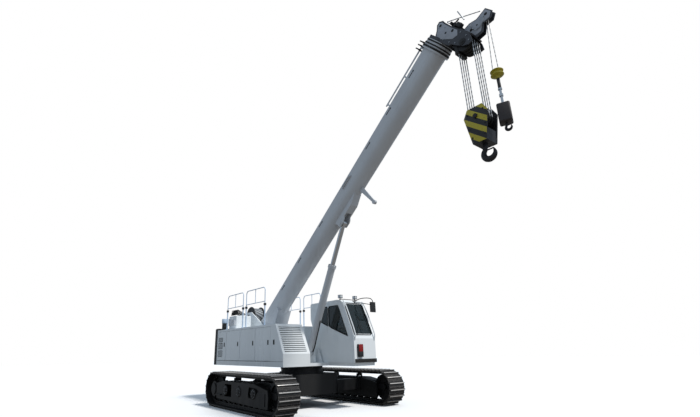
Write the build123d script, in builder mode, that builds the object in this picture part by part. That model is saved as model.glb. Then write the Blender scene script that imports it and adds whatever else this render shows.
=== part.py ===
from build123d import *

# Telescopic-boom crawler crane, in millimetres.
# X runs forward under the boom, Y to the operator's left, Z up.
# The origin is where the slewing axis meets the ground.

import os
from math import atan2, cos, degrees, hypot, pi, radians, sin

os.makedirs("parts", exist_ok=True)

# ---------------------------------------------------------------- driving sizes

SEAT_GAP = 0.3          # gap between two pieces that rest on each other
PIN_FIT = 0.05          # radial clearance of a pin in its bore
RUN_GAP = 6.0           # gap between pieces that move past each other

# tracks
TRACK_GAUGE = 4500.0    # centre to centre
WHEEL_BASE = 4120.0     # idler axle to sprocket axle
SHOE_WIDTH = 750.0
SHOE_COUNT = 60
PITCH_RADIUS = 515.0    # from an end wheel's axle to the inner face of the shoes
SHOE_PLATE = 30.0
GROUSER = 45.0
CHAIN_DEPTH = 85.0
CHAIN_WIDTH = 230.0
FRAME_PLATE = 60.0      # side plates of a track frame
FRAME_OUTER = 300.0     # from the track's middle to the outer face of its frame
ROLLER_RADIUS = 95.0
ROLLER_COUNT = 9
CARRIER_RADIUS = 50.0

# slewing gear and upper frame
BODY_LOW, BODY_HIGH = 420.0, 1150.0
RACE_RADIUS = 760.0
RACE_BORE = 600.0
RACE_HEIGHT = 100.0
DECK_THICK = 100.0
UPPER_HALF = 1500.0     # half the width of the upper works
DECK_REAR = -4330.0
TOWER_INNER = 320.0     # from the middle to the inner face of a tower plate
TOWER_PLATE = 40.0
WEIGHT_LENGTH = 370.0
WEIGHT_HIGH = 2870.0

# machinery housing on the right
HOUSE_INNER = 375.0     # from the middle to the housing's inner wall
HOUSE_TOP = 2790.0
HOUSE_FRONT = 1070.0
HOUSE_BROW = 560.0      # where the sloped front meets the roof
HOUSE_SILL = 1770.0     # foot of the sloped front
BELT = 1535.0           # foot of the doors
SHEET = 30.0            # panel thickness

# operator's cab
CAB_INNER = 410.0
CAB_WIDTH = 1000.0
CAB_FLOOR = 1450.0
CAB_WALL = 40.0

# boom, laid out along its own axis
BOOM_ANGLE = 37.85
BOOM_ORIGIN = (-2360.0, 2955.0)
BOOM_HALF = 297.5       # half the width, and the radius of the round belly
BOOM_TOP = 306.0        # from the boom's axis to its top plate
BELLY_AXIS = -77.5      # from the boom's axis to the centre of the round belly
BOOM_WALL = 12.0
PAD_GAP = 18.0          # between one boom section and the next
BOOM_TAIL = -150.0
BOOM_MOUTH = 12270.0
FOOT_S, FOOT_N = 340.0, -640.0
FOOT_PIN = 70.0
EYE_S, EYE_N = 5980.0, -540.0
HEAD_S, HEAD_N = 12700.0, -900.0

# derricking cylinder
RAM_FOOT = (495.0, 1790.0)
RAM_BARREL = 3356.0
RAM_RADIUS = 130.0
RAM_BORE = 100.0
ROD_RADIUS = 82.5
RAM_PIN = 50.0

# hook blocks
FALL_RADIUS = 11.0
SHEAVE_RADIUS = 205.0
BLOCK_TOP, BLOCK_LOW = 7850.0, 6830.0
LIFT_X = 8290.0         # line on which the main block hangs
AUX_X = 8932.0          # line on which the auxiliary hook hangs


# ---------------------------------------------------------------- helpers

def boom_xz(s, n):
    """Return the X and Z of a place on the boom, s along it and n square to it."""
    c, k = cos(radians(BOOM_ANGLE)), sin(radians(BOOM_ANGLE))
    return BOOM_ORIGIN[0] + s * c - n * k, BOOM_ORIGIN[1] + s * k + n * c


def boom_side(y):
    """Return a plane at y whose X runs up the boom and whose Y is square to it."""
    c, k = cos(radians(BOOM_ANGLE)), sin(radians(BOOM_ANGLE))
    return Plane(origin=(BOOM_ORIGIN[0], y, BOOM_ORIGIN[1]), x_dir=(c, 0, k), z_dir=(0, -1, 0))


def boom_cut(s):
    """Return the plane across the boom at s, its X to the left and its Y square to the top."""
    c, k = cos(radians(BOOM_ANGLE)), sin(radians(BOOM_ANGLE))
    x, z = boom_xz(s, 0)
    return Plane(origin=(x, 0, z), x_dir=(0, 1, 0), z_dir=(c, 0, k))


def slab(points, y_from, y_to, mode=Mode.ADD):
    """Add a plate with the given X-Z outline between two Y places."""
    low, high = sorted((y_from, y_to))
    with BuildSketch(Plane.XZ.offset(-high)) as outline:
        Polygon(*points, align=None)
    extrude(outline.sketch, amount=high - low, mode=mode)


def boom_slab(points, y_from, y_to, mode=Mode.ADD):
    """Add a plate with the given outline along the boom between two Y places."""
    low, high = sorted((y_from, y_to))
    with BuildSketch(boom_side(high)) as outline:
        Polygon(*points, align=None)
    extrude(outline.sketch, amount=high - low, mode=mode)


def block(x, y, z, mode=Mode.ADD):
    """Add a box given by its low and high places along X, Y and Z."""
    with BuildSketch(Plane.XY.offset(min(z))) as base:
        with Locations(((x[0] + x[1]) / 2, (y[0] + y[1]) / 2)):
            Rectangle(abs(x[1] - x[0]), abs(y[1] - y[0]))
    extrude(base.sketch, amount=abs(z[1] - z[0]), mode=mode)


def axle(x, z, radius, y_from, y_to, mode=Mode.ADD):
    """Add a cylinder that runs across the crane."""
    low, high = sorted((y_from, y_to))
    with BuildSketch(Plane.XZ.offset(-high)) as disc:
        with Locations((x, z)):
            Circle(radius)
    extrude(disc.sketch, amount=high - low, mode=mode)


def spindle(x, y, radius, z_from, z_to, mode=Mode.ADD):
    """Add an upright cylinder."""
    with BuildSketch(Plane.XY.offset(z_from)) as disc:
        with Locations((x, y)):
            Circle(radius)
    extrude(disc.sketch, amount=z_to - z_from, mode=mode)


def save(piece, name):
    """Label a finished sub-part and write it to its own file."""
    piece.part.label = name
    export_step(piece.part, f"parts/{name}.step")


# ---------------------------------------------------------------- tracks

SHOE_OUTER = PITCH_RADIUS + SHOE_PLATE + GROUSER
AXLE_Z = SHOE_OUTER
CHAIN_INNER = PITCH_RADIUS - CHAIN_DEPTH
TRACK_MIDDLE = TRACK_GAUGE / 2
FRAME_INNER = FRAME_OUTER - FRAME_PLATE


def loop_place(distance):
    """Return the X, Z and outward direction at a distance along the shoes' inner face."""
    half_turn = pi * PITCH_RADIUS
    total = 2 * WHEEL_BASE + 2 * half_turn
    d = distance % total
    if d < WHEEL_BASE:
        return WHEEL_BASE / 2 - d, AXLE_Z + PITCH_RADIUS, 90.0
    d -= WHEEL_BASE
    if d < half_turn:
        a = 90 + degrees(d / PITCH_RADIUS)
        return (-WHEEL_BASE / 2 + PITCH_RADIUS * cos(radians(a)),
                AXLE_Z + PITCH_RADIUS * sin(radians(a)), a)
    d -= half_turn
    if d < WHEEL_BASE:
        return -WHEEL_BASE / 2 + d, AXLE_Z - PITCH_RADIUS, 270.0
    a = 270 + degrees((d - WHEEL_BASE) / PITCH_RADIUS)
    return (WHEEL_BASE / 2 + PITCH_RADIUS * cos(radians(a)),
            AXLE_Z + PITCH_RADIUS * sin(radians(a)), a)


SHOE_PITCH = (2 * WHEEL_BASE + 2 * pi * PITCH_RADIUS) / SHOE_COUNT
# share of the pitch forward of the shoe's middle, height over the shoe's inner face
SHOE_PROFILE = [
    (-0.49, SHOE_PLATE * 0.6),
    (-0.42, SHOE_PLATE),
    (-0.16, SHOE_PLATE),
    (-0.10, SHOE_PLATE + GROUSER),
    (0.02, SHOE_PLATE + GROUSER),
    (0.10, SHOE_PLATE),
    (0.44, SHOE_PLATE),
    (0.49, SHOE_PLATE * 0.6),
]


def shoe_outline():
    """Return the outline of the whole belt of shoes, one profile for each shoe."""
    points = []
    for shoe in range(SHOE_COUNT):
        x, z, outward = loop_place((shoe + 0.5) * SHOE_PITCH)
        out = radians(outward)
        for share, height in SHOE_PROFILE:
            along = share * SHOE_PITCH
            points.append((x + height * cos(out) - along * sin(out),
                           z + height * sin(out) + along * cos(out)))
    return points


BELT_OUTLINE = shoe_outline()

# outline of a track frame's side plate, X then Z
FRAME_OUTLINE = [(-1760, 300), (-1760, 800), (-1300, 885), (1000, 895), (1860, 750),
                 (1900, 560), (1880, 240), (1600, 228)]
# openings cut through the outer side plate, each a list of X-Z corners
FRAME_WINDOWS = [
    [(-1090, 400), (-1090, 800), (-560, 800), (-560, 400)],
    [(640, 560), (700, 790), (1180, 770), (1330, 700), (1000, 470), (690, 470)],
]
FRAME_SLOT = [(1700, 300), (1700, 650), (1750, 650), (1750, 300)]
FRAME_HOLE = (0.0, 640.0, 140.0)    # X, Z and radius of the round hole at the middle
BEAM_X = 820.0                      # cross beams, fore and aft of the slewing axis
BEAM_HALF = 170.0
BEAM_LOW, BEAM_HIGH = 480.0, 850.0

roller_span = WHEEL_BASE - 2 * PITCH_RADIUS - 180
# where the frame's plates end, fore and aft, with room for the end wheels
FRAME_END = WHEEL_BASE / 2 - 460
roller_x = [roller_span * (i / (ROLLER_COUNT - 1) - 0.5) for i in range(ROLLER_COUNT)]
roller_z = AXLE_Z - CHAIN_INNER + ROLLER_RADIUS + SEAT_GAP
carrier_z = AXLE_Z + CHAIN_INNER - CARRIER_RADIUS - SEAT_GAP
CARRIER_X = (-700.0, 700.0)
HUB_RADIUS = 180.0
IDLER_AXLE = 60.0

for name, side in (("left", 1), ("right", -1)):
    middle = side * TRACK_MIDDLE

    with BuildPart() as track:
        half = SHOE_WIDTH / 2
        slab(BELT_OUTLINE, middle - half, middle + half)
        with BuildSketch(Plane.XZ.offset(-middle)) as inside:
            with Locations((0, AXLE_Z)):
                SlotCenterToCenter(WHEEL_BASE, 2 * PITCH_RADIUS)
        extrude(inside.sketch, amount=half, both=True, mode=Mode.SUBTRACT)
        with BuildSketch(Plane.XZ.offset(-middle)) as chain:
            with Locations((0, AXLE_Z)):
                SlotCenterToCenter(WHEEL_BASE, 2 * PITCH_RADIUS + 10)
                SlotCenterToCenter(WHEEL_BASE, 2 * CHAIN_INNER, mode=Mode.SUBTRACT)
        extrude(chain.sketch, amount=CHAIN_WIDTH / 2, both=True)
    save(track, f"track_{name}")

    with BuildPart() as frame:
        outer, inner = middle + side * FRAME_OUTER, middle - side * FRAME_OUTER
        outer_in, inner_in = middle + side * FRAME_INNER, middle - side * FRAME_INNER
        slab(FRAME_OUTLINE, outer_in, outer)
        slab(FRAME_OUTLINE, inner, inner_in)
        # top cover, floor over the rollers and the two end plates
        slab([(-FRAME_END, 797), (-FRAME_END, 829), (-1300, 885), (1000, 895), (FRAME_END, 793),
              (FRAME_END, 760),
              (1000, 862), (-1300, 852)], inner_in, outer_in)
        for points in ([(-FRAME_END, 375), (FRAME_END, 375), (FRAME_END, 405), (-FRAME_END, 405)],
                       [(-FRAME_END, 375), (-FRAME_END + 30, 375), (-FRAME_END + 30, 805),
                        (-FRAME_END, 805)],
                       [(FRAME_END - 30, 375), (FRAME_END, 375), (FRAME_END, 785), (FRAME_END - 30, 785)]):
            slab(points, inner_in, outer_in)
        for window in FRAME_WINDOWS:
            slab(window, outer_in, outer, Mode.SUBTRACT)
        slab(FRAME_SLOT, outer_in, outer, Mode.SUBTRACT)
        axle(FRAME_HOLE[0], FRAME_HOLE[1], FRAME_HOLE[2], outer_in, outer, Mode.SUBTRACT)
        # hanger plates and axles of the lower rollers
        for x in roller_x:
            for y in (middle - 165, middle + 125):
                block((x - 50, x + 50), (y, y + 40), (215, 385))
            axle(x, roller_z, 35, middle - 165, middle + 165)
        for x in CARRIER_X:
            block((x - 30, x + 30), (middle - 130, middle - 90), (870, carrier_z + 30))
            block((x - 30, x + 30), (middle + 90, middle + 130), (870, carrier_z + 30))
            axle(x, carrier_z, 20, middle - 130, middle + 130)
        # fork and axle of the front idler
        for y in (middle - 150, middle + 110):
            slab([(FRAME_END - 20, 500), (FRAME_END - 20, 680), (WHEEL_BASE / 2 + 60, 680),
                  (WHEEL_BASE / 2 + 120, 590),
                  (WHEEL_BASE / 2 + 60, 500)], y, y + 40)
        axle(WHEEL_BASE / 2, AXLE_Z, IDLER_AXLE, middle - 150, middle + 150)
        # travel drive: motor bracket on the inner side, hub through the sprocket, domed cover
        slab([(-FRAME_END, 360), (-FRAME_END, 780), (-FRAME_END - 160, 790), (-WHEEL_BASE / 2, 860),
              (-WHEEL_BASE / 2 - 240, 700),
              (-WHEEL_BASE / 2 - 240, 480),
              (-WHEEL_BASE / 2, 330)], middle - side * 245, middle - side * 200)
        axle(-WHEEL_BASE / 2, AXLE_Z, HUB_RADIUS, middle - side * 330, middle + side * 150)
        axle(-WHEEL_BASE / 2, AXLE_Z, 260, middle + side * 150, middle + side * 260)
        axle(-WHEEL_BASE / 2, AXLE_Z, 190, middle + side * 260, middle + side * 300)
        # step that stands out from the rear of the frame
        slab([(-1700, 420), (-1700, 450), (-1300, 450), (-1300, 420)], outer - side, outer + side * 74)
    save(frame, f"track_frame_{name}")

with BuildPart() as rollers:
    for side in (1, -1):
        middle = side * TRACK_MIDDLE
        for x in roller_x:
            axle(x, roller_z, ROLLER_RADIUS, middle - 110, middle + 110)
            axle(x, roller_z, 35 + SEAT_GAP, middle - 110, middle + 110, Mode.SUBTRACT)
        for x in CARRIER_X:
            axle(x, carrier_z, CARRIER_RADIUS, middle - 80, middle + 80)
            axle(x, carrier_z, 20 + SEAT_GAP, middle - 80, middle + 80, Mode.SUBTRACT)
save(rollers, "track_rollers")

with BuildPart() as idlers:
    for side in (1, -1):
        middle = side * TRACK_MIDDLE
        axle(WHEEL_BASE / 2, AXLE_Z, CHAIN_INNER - SEAT_GAP, middle - 90, middle + 90)
        for y in (middle - 90, middle + 45):
            axle(WHEEL_BASE / 2, AXLE_Z, CHAIN_INNER - 90, y, y + 45, Mode.SUBTRACT)
        axle(WHEEL_BASE / 2, AXLE_Z, IDLER_AXLE + 50, middle - 100, middle + 100)
        axle(WHEEL_BASE / 2, AXLE_Z, IDLER_AXLE + SEAT_GAP, middle - 100, middle + 100, Mode.SUBTRACT)
save(idlers, "idlers")

SPROCKET_TEETH = 15
with BuildPart() as sprockets:
    for side in (1, -1):
        middle = side * TRACK_MIDDLE
        with BuildSketch(Plane.XZ.offset(-middle)) as tooth_ring:
            with Locations((-WHEEL_BASE / 2, AXLE_Z)):
                Circle(CHAIN_INNER - SEAT_GAP)
                with PolarLocations(CHAIN_INNER + 20, SPROCKET_TEETH):
                    Circle(55, mode=Mode.SUBTRACT)
                Circle(HUB_RADIUS + SEAT_GAP, mode=Mode.SUBTRACT)
        extrude(tooth_ring.sketch, amount=45, both=True)
save(sprockets, "drive_sprockets")

with BuildPart() as car_body:
    with BuildSketch(Plane.XY.offset(BODY_LOW)) as tub:
        RectangleRounded(2200, 1900, 250)
    extrude(tub.sketch, amount=BODY_HIGH - BODY_LOW - 60)
    for x in (-BEAM_X, BEAM_X):
        y_end = TRACK_MIDDLE - FRAME_OUTER - SEAT_GAP
        block((x - BEAM_HALF, x + BEAM_HALF), (-y_end, y_end), (BEAM_LOW, BEAM_HIGH))
        # end flanges that bolt to the track frames
        for side in (1, -1):
            block((x - BEAM_HALF - 60, x + BEAM_HALF + 60), (side * (y_end - 40), side * y_end),
                  (BEAM_LOW - 40, BEAM_HIGH + 30))
    spindle(0, 0, RACE_RADIUS + 60, BODY_HIGH - 60, BODY_HIGH)
    spindle(0, 0, RACE_RADIUS, BODY_HIGH, BODY_HIGH + RACE_HEIGHT)
    # spigot on which the upper race runs
    spindle(0, 0, RACE_BORE - PIN_FIT, BODY_HIGH + RACE_HEIGHT, BODY_HIGH + 2 * RACE_HEIGHT - 20)
    spindle(0, 0, RACE_BORE - 50, BODY_HIGH - 300, BODY_HIGH + 2 * RACE_HEIGHT, Mode.SUBTRACT)
save(car_body, "car_body")

# ---------------------------------------------------------------- upper frame

DECK_LOW = BODY_HIGH + 2 * RACE_HEIGHT
DECK_HIGH = DECK_LOW + DECK_THICK
RACE_GAP = 5.0
tower_outer = TOWER_INNER + TOWER_PLATE
foot_x, foot_z = boom_xz(FOOT_S, FOOT_N)
eye_x, eye_z = boom_xz(EYE_S, EYE_N)
ram_x, ram_z = RAM_FOOT
ram_length = hypot(eye_x - ram_x, eye_z - ram_z)
WINCH = (-3640.0, 3420.0)       # X and Z of the main winch
AUX_WINCH = (-3340.0, 2520.0)   # X and Z of the auxiliary winch
WINCH_AXLE = 60.0
CAB_REAR, CAB_FRONT = 0.0, 2500.0

with BuildPart() as slew_race:
    spindle(0, 0, RACE_RADIUS + 20, DECK_LOW - RACE_HEIGHT + RACE_GAP, DECK_LOW - SEAT_GAP)
    spindle(0, 0, RACE_BORE, DECK_LOW - RACE_HEIGHT, DECK_LOW, Mode.SUBTRACT)
save(slew_race, "slew_race")

# outline of a tower plate, X then Z
TOWER = [
    (-4250, DECK_HIGH), (-4250, 2700), (WINCH[0] - 200, 3560), (WINCH[0] + 250, 3560),
    (foot_x - 560, foot_z + 240), (foot_x - 130, foot_z + 170), (foot_x + 120, foot_z + 170),
    (foot_x + 260, foot_z - 40), (foot_x + 560, 2080), (ram_x + 160, 1900), (ram_x + 330, DECK_HIGH),
]
with BuildPart() as platform:
    block((DECK_REAR, HOUSE_FRONT), (-UPPER_HALF, UPPER_HALF), (DECK_LOW, DECK_HIGH))
    # outrigger under the cab
    block((0, CAB_FRONT - 60), (CAB_INNER + 20, CAB_INNER + CAB_WIDTH - 20), (DECK_LOW, CAB_FLOOR - SEAT_GAP))
    for side in (1, -1):
        slab(TOWER, side * TOWER_INNER, side * tower_outer)
        # bosses for the boom foot pin, outside the plates
        axle(foot_x, foot_z, FOOT_PIN + 60, side * tower_outer, side * (tower_outer + 12))
    for x, z, radius in ((foot_x, foot_z, FOOT_PIN), (WINCH[0], WINCH[1], WINCH_AXLE),
                         (AUX_WINCH[0], AUX_WINCH[1], WINCH_AXLE)):
        axle(x, z, radius + PIN_FIT, -500, 500, Mode.SUBTRACT)
    # clevis for the derricking cylinder
    for side in (1, -1):
        slab([(ram_x - 260, DECK_HIGH), (ram_x - 90, ram_z + 60), (ram_x, ram_z + 110),
              (ram_x + 100, ram_z + 40), (ram_x + 180, DECK_HIGH)],
             side * (RAM_RADIUS + 10), side * (RAM_RADIUS + 50))
    axle(ram_x, ram_z, RAM_PIN + PIN_FIT, -RAM_RADIUS - 60, RAM_RADIUS + 60, Mode.SUBTRACT)
    # cross plates that tie the towers together behind and ahead of the boom foot
    for x, z_top in ((-4230, 2650), (-2900, 2050), (-700, 1900)):
        block((x, x + 30), (-TOWER_INNER, TOWER_INNER), (DECK_HIGH, z_top))
save(platform, "slew_platform")

with BuildPart() as counterweight:
    with BuildSketch(Plane.XY.offset(DECK_LOW)) as plan:
        x_back = DECK_REAR - SEAT_GAP - WEIGHT_LENGTH
        Polygon((DECK_REAR - SEAT_GAP, -UPPER_HALF), (DECK_REAR - SEAT_GAP, UPPER_HALF),
                (x_back + 120, UPPER_HALF), (x_back, UPPER_HALF - 320),
                (x_back, -UPPER_HALF + 320), (x_back + 120, -UPPER_HALF), align=None)
    extrude(plan.sketch, amount=WEIGHT_HIGH - DECK_LOW)
    chamfer(counterweight.faces().sort_by(Axis.Z)[-1].edges(), 35)
save(counterweight, "counterweight")

# ---------------------------------------------------------------- machinery housings

house_y = (-UPPER_HALF, -HOUSE_INNER)
HOUSE_BASE = DECK_HIGH + SEAT_GAP
HOUSE_OUTLINE = [(DECK_REAR, HOUSE_BASE), (DECK_REAR, HOUSE_TOP), (HOUSE_BROW, HOUSE_TOP),
                 (HOUSE_FRONT, HOUSE_SILL), (HOUSE_FRONT, HOUSE_BASE)]
# doors on the right side: name, rear edge, front edge
DOORS = [("rear", -4300.0, -3430.0), ("cooler", -3430.0, -2160.0),
         ("pump", -2160.0, -900.0), ("engine", -900.0, 230.0)]
DOOR_LOW, DOOR_HIGH = BELT, HOUSE_TOP - 75
DOOR_GAP = 5.0
DOOR_PIN = 7.0
DOOR_AXIS = (44.0, -UPPER_HALF + 12)   # X ahead of the rear edge, and Y
LOUVRE_SLATS = 14
LOUVRE_Y = (-UPPER_HALF + 55, -HOUSE_INNER - 85)
slope = atan2(HOUSE_TOP - HOUSE_SILL, HOUSE_BROW - HOUSE_FRONT)
slope_length = hypot(HOUSE_TOP - HOUSE_SILL, HOUSE_BROW - HOUSE_FRONT)
slope_plane = Plane(origin=(HOUSE_FRONT, 0, HOUSE_SILL), x_dir=(0, 1, 0),
                    z_dir=(sin(slope), 0, -cos(slope)))
LOUVRE_LOW, LOUVRE_HIGH = 40.0, slope_length - 70

with BuildPart() as housing_right:
    slab(HOUSE_OUTLINE, *house_y)
    inner_outline = [(DECK_REAR + SHEET, HOUSE_BASE), (DECK_REAR + SHEET, HOUSE_TOP - SHEET),
                     (HOUSE_BROW - SHEET, HOUSE_TOP - SHEET), (HOUSE_FRONT - SHEET, HOUSE_SILL - SHEET),
                     (HOUSE_FRONT - SHEET, HOUSE_BASE)]
    slab(inner_outline, house_y[0] + SHEET, house_y[1] - SHEET, Mode.SUBTRACT)
    # one recess for the row of doors, stop posts behind it and bores for their pivot pins
    block((DOORS[0][1], DOORS[-1][2]), (-UPPER_HALF, -UPPER_HALF + SHEET),
          (DOOR_LOW, DOOR_HIGH), Mode.SUBTRACT)
    for _, rear, front in DOORS:
        block((front - 45, front - 5), (-UPPER_HALF + SHEET, -UPPER_HALF + 2 * SHEET),
              (DOOR_LOW - 60, HOUSE_TOP - 15))
        for z in (DOOR_LOW - 14, DOOR_HIGH):
            spindle(rear + DOOR_AXIS[0], DOOR_AXIS[1], DOOR_PIN + PIN_FIT, z, z + 14, Mode.SUBTRACT)
    # opening behind the louvres
    with BuildSketch(slope_plane) as mouth:
        with Locations(((LOUVRE_Y[0] + LOUVRE_Y[1]) / 2, (LOUVRE_LOW + LOUVRE_HIGH) / 2)):
            Rectangle(LOUVRE_Y[1] - LOUVRE_Y[0], LOUVRE_HIGH - LOUVRE_LOW)
    extrude(mouth.sketch, amount=-60, mode=Mode.SUBTRACT)
save(housing_right, "housing_right")

for name, rear, front in DOORS:
    with BuildPart() as door:
        block((rear + DOOR_GAP, front - DOOR_GAP), (-UPPER_HALF, -UPPER_HALF + SHEET - SEAT_GAP),
              (DOOR_LOW + DOOR_GAP, DOOR_HIGH - DOOR_GAP))
        fillet(door.faces().sort_by(Axis.Y)[0].edges(), 8)
        # recessed latch near the front edge
        block((front - 200, front - 150), (-UPPER_HALF, -UPPER_HALF + 12),
              (2105, 2235), Mode.SUBTRACT)
        if name == "rear":
            # three small grilles, low and high edge of each
            for z_low, z_high in ((1690, 1930), (2000, 2240), (2290, 2450)):
                rows = int((z_high - z_low) / 40)
                for row in range(rows):
                    z = z_low + (row + 0.5) * (z_high - z_low) / rows
                    block((rear + 120, rear + 520), (-UPPER_HALF, -UPPER_HALF + SHEET - SEAT_GAP),
                          (z - 9, z + 9), Mode.SUBTRACT)
        for z in (DOOR_LOW - 12, DOOR_HIGH - DOOR_GAP - 10):
            spindle(rear + DOOR_AXIS[0], DOOR_AXIS[1], DOOR_PIN, z, z + DOOR_GAP + 22)
    save(door, f"door_{name}")

with BuildPart() as louvre:
    width = LOUVRE_Y[1] - LOUVRE_Y[0] - 2 * SEAT_GAP
    height = LOUVRE_HIGH - LOUVRE_LOW - 2 * SEAT_GAP
    centre = ((LOUVRE_Y[0] + LOUVRE_Y[1]) / 2, (LOUVRE_LOW + LOUVRE_HIGH) / 2)
    with BuildSketch(slope_plane) as grille:
        with Locations(centre):
            Rectangle(width, height)
            with GridLocations(0, (height - 40) / LOUVRE_SLATS, 1, LOUVRE_SLATS):
                Rectangle(width - 60, 34, mode=Mode.SUBTRACT)
    extrude(grille.sketch, amount=-24)
save(louvre, "louvre_panel")

LEFT_FRONT = -330.0
with BuildPart() as housing_left:
    slab([(DECK_REAR, HOUSE_BASE), (DECK_REAR, HOUSE_TOP), (LEFT_FRONT, HOUSE_TOP),
          (LEFT_FRONT, HOUSE_BASE)], HOUSE_INNER, UPPER_HALF)
    slab([(DECK_REAR + SHEET, HOUSE_BASE), (DECK_REAR + SHEET, HOUSE_TOP - SHEET),
          (LEFT_FRONT - SHEET, HOUSE_TOP - SHEET), (LEFT_FRONT - SHEET, HOUSE_BASE)],
         HOUSE_INNER + SHEET, UPPER_HALF - SHEET, Mode.SUBTRACT)
    for x in (-3430, -2160, -900):
        block((x - 3, x + 3), (UPPER_HALF - 6, UPPER_HALF), (BELT, DOOR_HIGH), Mode.SUBTRACT)
save(housing_left, "housing_left")

ENGINE_X, ENGINE_Z = (-2100.0, -500.0), (HOUSE_BASE + 60, 2350.0)
ENGINE_Y = (-UPPER_HALF + 280, -HOUSE_INNER - 150)
with BuildPart() as engine:
    block(ENGINE_X, ENGINE_Y, ENGINE_Z)
    for x in (ENGINE_X[0] + 150, ENGINE_X[1] - 250):
        for y in (ENGINE_Y[0] + 50, ENGINE_Y[1] - 150):
            block((x, x + 100), (y, y + 100), (HOUSE_BASE, ENGINE_Z[0]))
save(engine, "engine_block")

EXHAUST = (-3860.0, -1260.0)
TOP_SEAT = HOUSE_TOP + SEAT_GAP
with BuildPart() as exhaust:
    spindle(EXHAUST[0], EXHAUST[1], 105, TOP_SEAT, TOP_SEAT + 380)
    spindle(EXHAUST[0], EXHAUST[1], 125, TOP_SEAT + 380, TOP_SEAT + 500)
    fillet(exhaust.faces().sort_by(Axis.Z)[-1].edges(), 55)
save(exhaust, "exhaust")

# guard rails: name, Y of the rail, X of the two posts of each hoop
RAIL_HOOPS = [(-1430.0, -3560.0, -2105.0), (-1430.0, -1830.0, -335.0),
              (1430.0, -3560.0, -2105.0), (1430.0, -1830.0, -600.0)]
RAIL_TUBE = 17.0
RAIL_TOP = 4210.0
RAIL_MID = 3670.0
RAIL_BEND = 130.0
with BuildPart() as rails:
    for y, x_rear, x_front in RAIL_HOOPS:
        middle = (x_rear + x_front) / 2
        with BuildLine(Plane.XZ.offset(-y)) as hoop:
            FilletPolyline((x_rear, TOP_SEAT), (x_rear, RAIL_TOP), (x_front, RAIL_TOP),
                           (x_front, TOP_SEAT), radius=RAIL_BEND)
        with BuildSketch(Plane.XY.offset(TOP_SEAT)) as tube:
            with Locations((x_rear, y)):
                Circle(RAIL_TUBE)
        sweep(tube.sketch, path=hoop.line)
        with BuildSketch(Plane.YZ.offset(x_rear)) as bar:
            with Locations((y, RAIL_MID)):
                Circle(RAIL_TUBE - 2)
        extrude(bar.sketch, amount=x_front - x_rear)
        spindle(middle, y, RAIL_TUBE - 4, RAIL_MID, RAIL_TOP)
        for x in (x_rear, x_front):
            # thick lower posts with a clamp at the middle rail
            spindle(x, y, RAIL_TUBE + 10, TOP_SEAT, RAIL_MID - 60)
            block((x - 60, x + 60), (y - 45, y + 45), (TOP_SEAT, TOP_SEAT + 12))
save(rails, "guard_rails")

with BuildPart() as clamps:
    for y, x_rear, x_front in RAIL_HOOPS:
        for x in (x_rear, x_front):
            block((x - 42, x + 42), (y - 36, y + 36), (RAIL_MID - 150, RAIL_MID - 70))
            spindle(x, y, RAIL_TUBE + 10 + SEAT_GAP, RAIL_MID - 160, RAIL_MID - 60, Mode.SUBTRACT)
save(clamps, "rail_clamps")

with BuildPart() as equipment:
    # oil tank behind the rear rail
    block((-3700, -3000), (-1290, -560), (TOP_SEAT, 3350))
    fillet(equipment.edges().filter_by(Axis.Z), 60)
    fillet(equipment.faces().sort_by(Axis.Z)[-1].edges(), 25)
    spindle(-3190, -900, 90, 3340, 3400)
    spindle(-3560, -900, 55, 3340, 3385)
save(equipment, "roof_equipment")

# ---------------------------------------------------------------- cab

cab_y = (CAB_INNER, CAB_INNER + CAB_WIDTH)
CAB_FOOT_REAR = 300.0
# side outline of the cab, X then Z, from the front of the floor round to the rear
CAB_OUTLINE = [(CAB_FRONT, CAB_FLOOR), (CAB_FRONT, 2240), (CAB_FRONT - 35, 2345), (1975, 3500),
               (1850, 3590), (1700, 3612), (120, 3612), (60, 3560), (60, 3020), (250, 2560),
               (250, 2400), (CAB_REAR, 1760), (CAB_REAR, CAB_FLOOR)]
CAB_INSIDE = [(CAB_FRONT - 45, CAB_FLOOR + 45), (CAB_FRONT - 45, 2230), (CAB_FRONT - 85, 2325),
              (1935, 3465), (1830, 3545), (1695, 3565), (150, 3565), (105, 3520), (105, 3030),
              (295, 2570), (295, 2390), (45, 1750), (45, CAB_FLOOR + 45)]
# side windows, X then Z
WINDOW_FRONT = [(2200, 2330), (1735, 3410), (1180, 3410), (1180, 2690)]
WINDOW_REAR = [(1120, 2715), (1120, 3410), (870, 3405), (560, 2950)]
WINDOWS = (WINDOW_FRONT, WINDOW_REAR)
LEFT_WINDOW = [(2200, 2330), (1735, 3410), (1560, 3410), (1560, 2330)]
windscreen = ((2456.5, 2365.0), (1983.5, 3480.0))     # foot and head, X then Z
GLASS = 6.0
GLASS_GAP = SEAT_GAP
DOOR_X = (480.0, 1500.0)
DOOR_Z = (CAB_FLOOR + 70, 3500.0)
left_wall = (cab_y[1] - CAB_WALL, cab_y[1])
right_wall = (cab_y[0], cab_y[0] + CAB_WALL)

CAB_HINGE = (DOOR_X[0] - 41, cab_y[1] + 20)     # X and Y of the door's hinge line
CAB_HINGES = (DOOR_Z[0] + 150, DOOR_Z[1] - 220)  # foot of each hinge

screen_angle = atan2(windscreen[1][1] - windscreen[0][1], windscreen[1][0] - windscreen[0][0])
screen_length = hypot(windscreen[1][1] - windscreen[0][1], windscreen[1][0] - windscreen[0][0])
screen_plane = Plane(origin=(windscreen[0][0], (cab_y[0] + cab_y[1]) / 2, windscreen[0][1]),
                     x_dir=(0, 1, 0), z_dir=(sin(screen_angle), 0, -cos(screen_angle)))
screen_width = CAB_WIDTH - 2 * 75


def pane(points, y_from):
    """Add a pane with a small gap inside the given X-Z outline, its outer face at y_from."""
    with BuildSketch(Plane.XZ.offset(-y_from - GLASS)) as outline:
        Polygon(*points, align=None)
        offset(amount=-GLASS_GAP, kind=Kind.INTERSECTION)
    extrude(outline.sketch, amount=GLASS)


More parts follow.
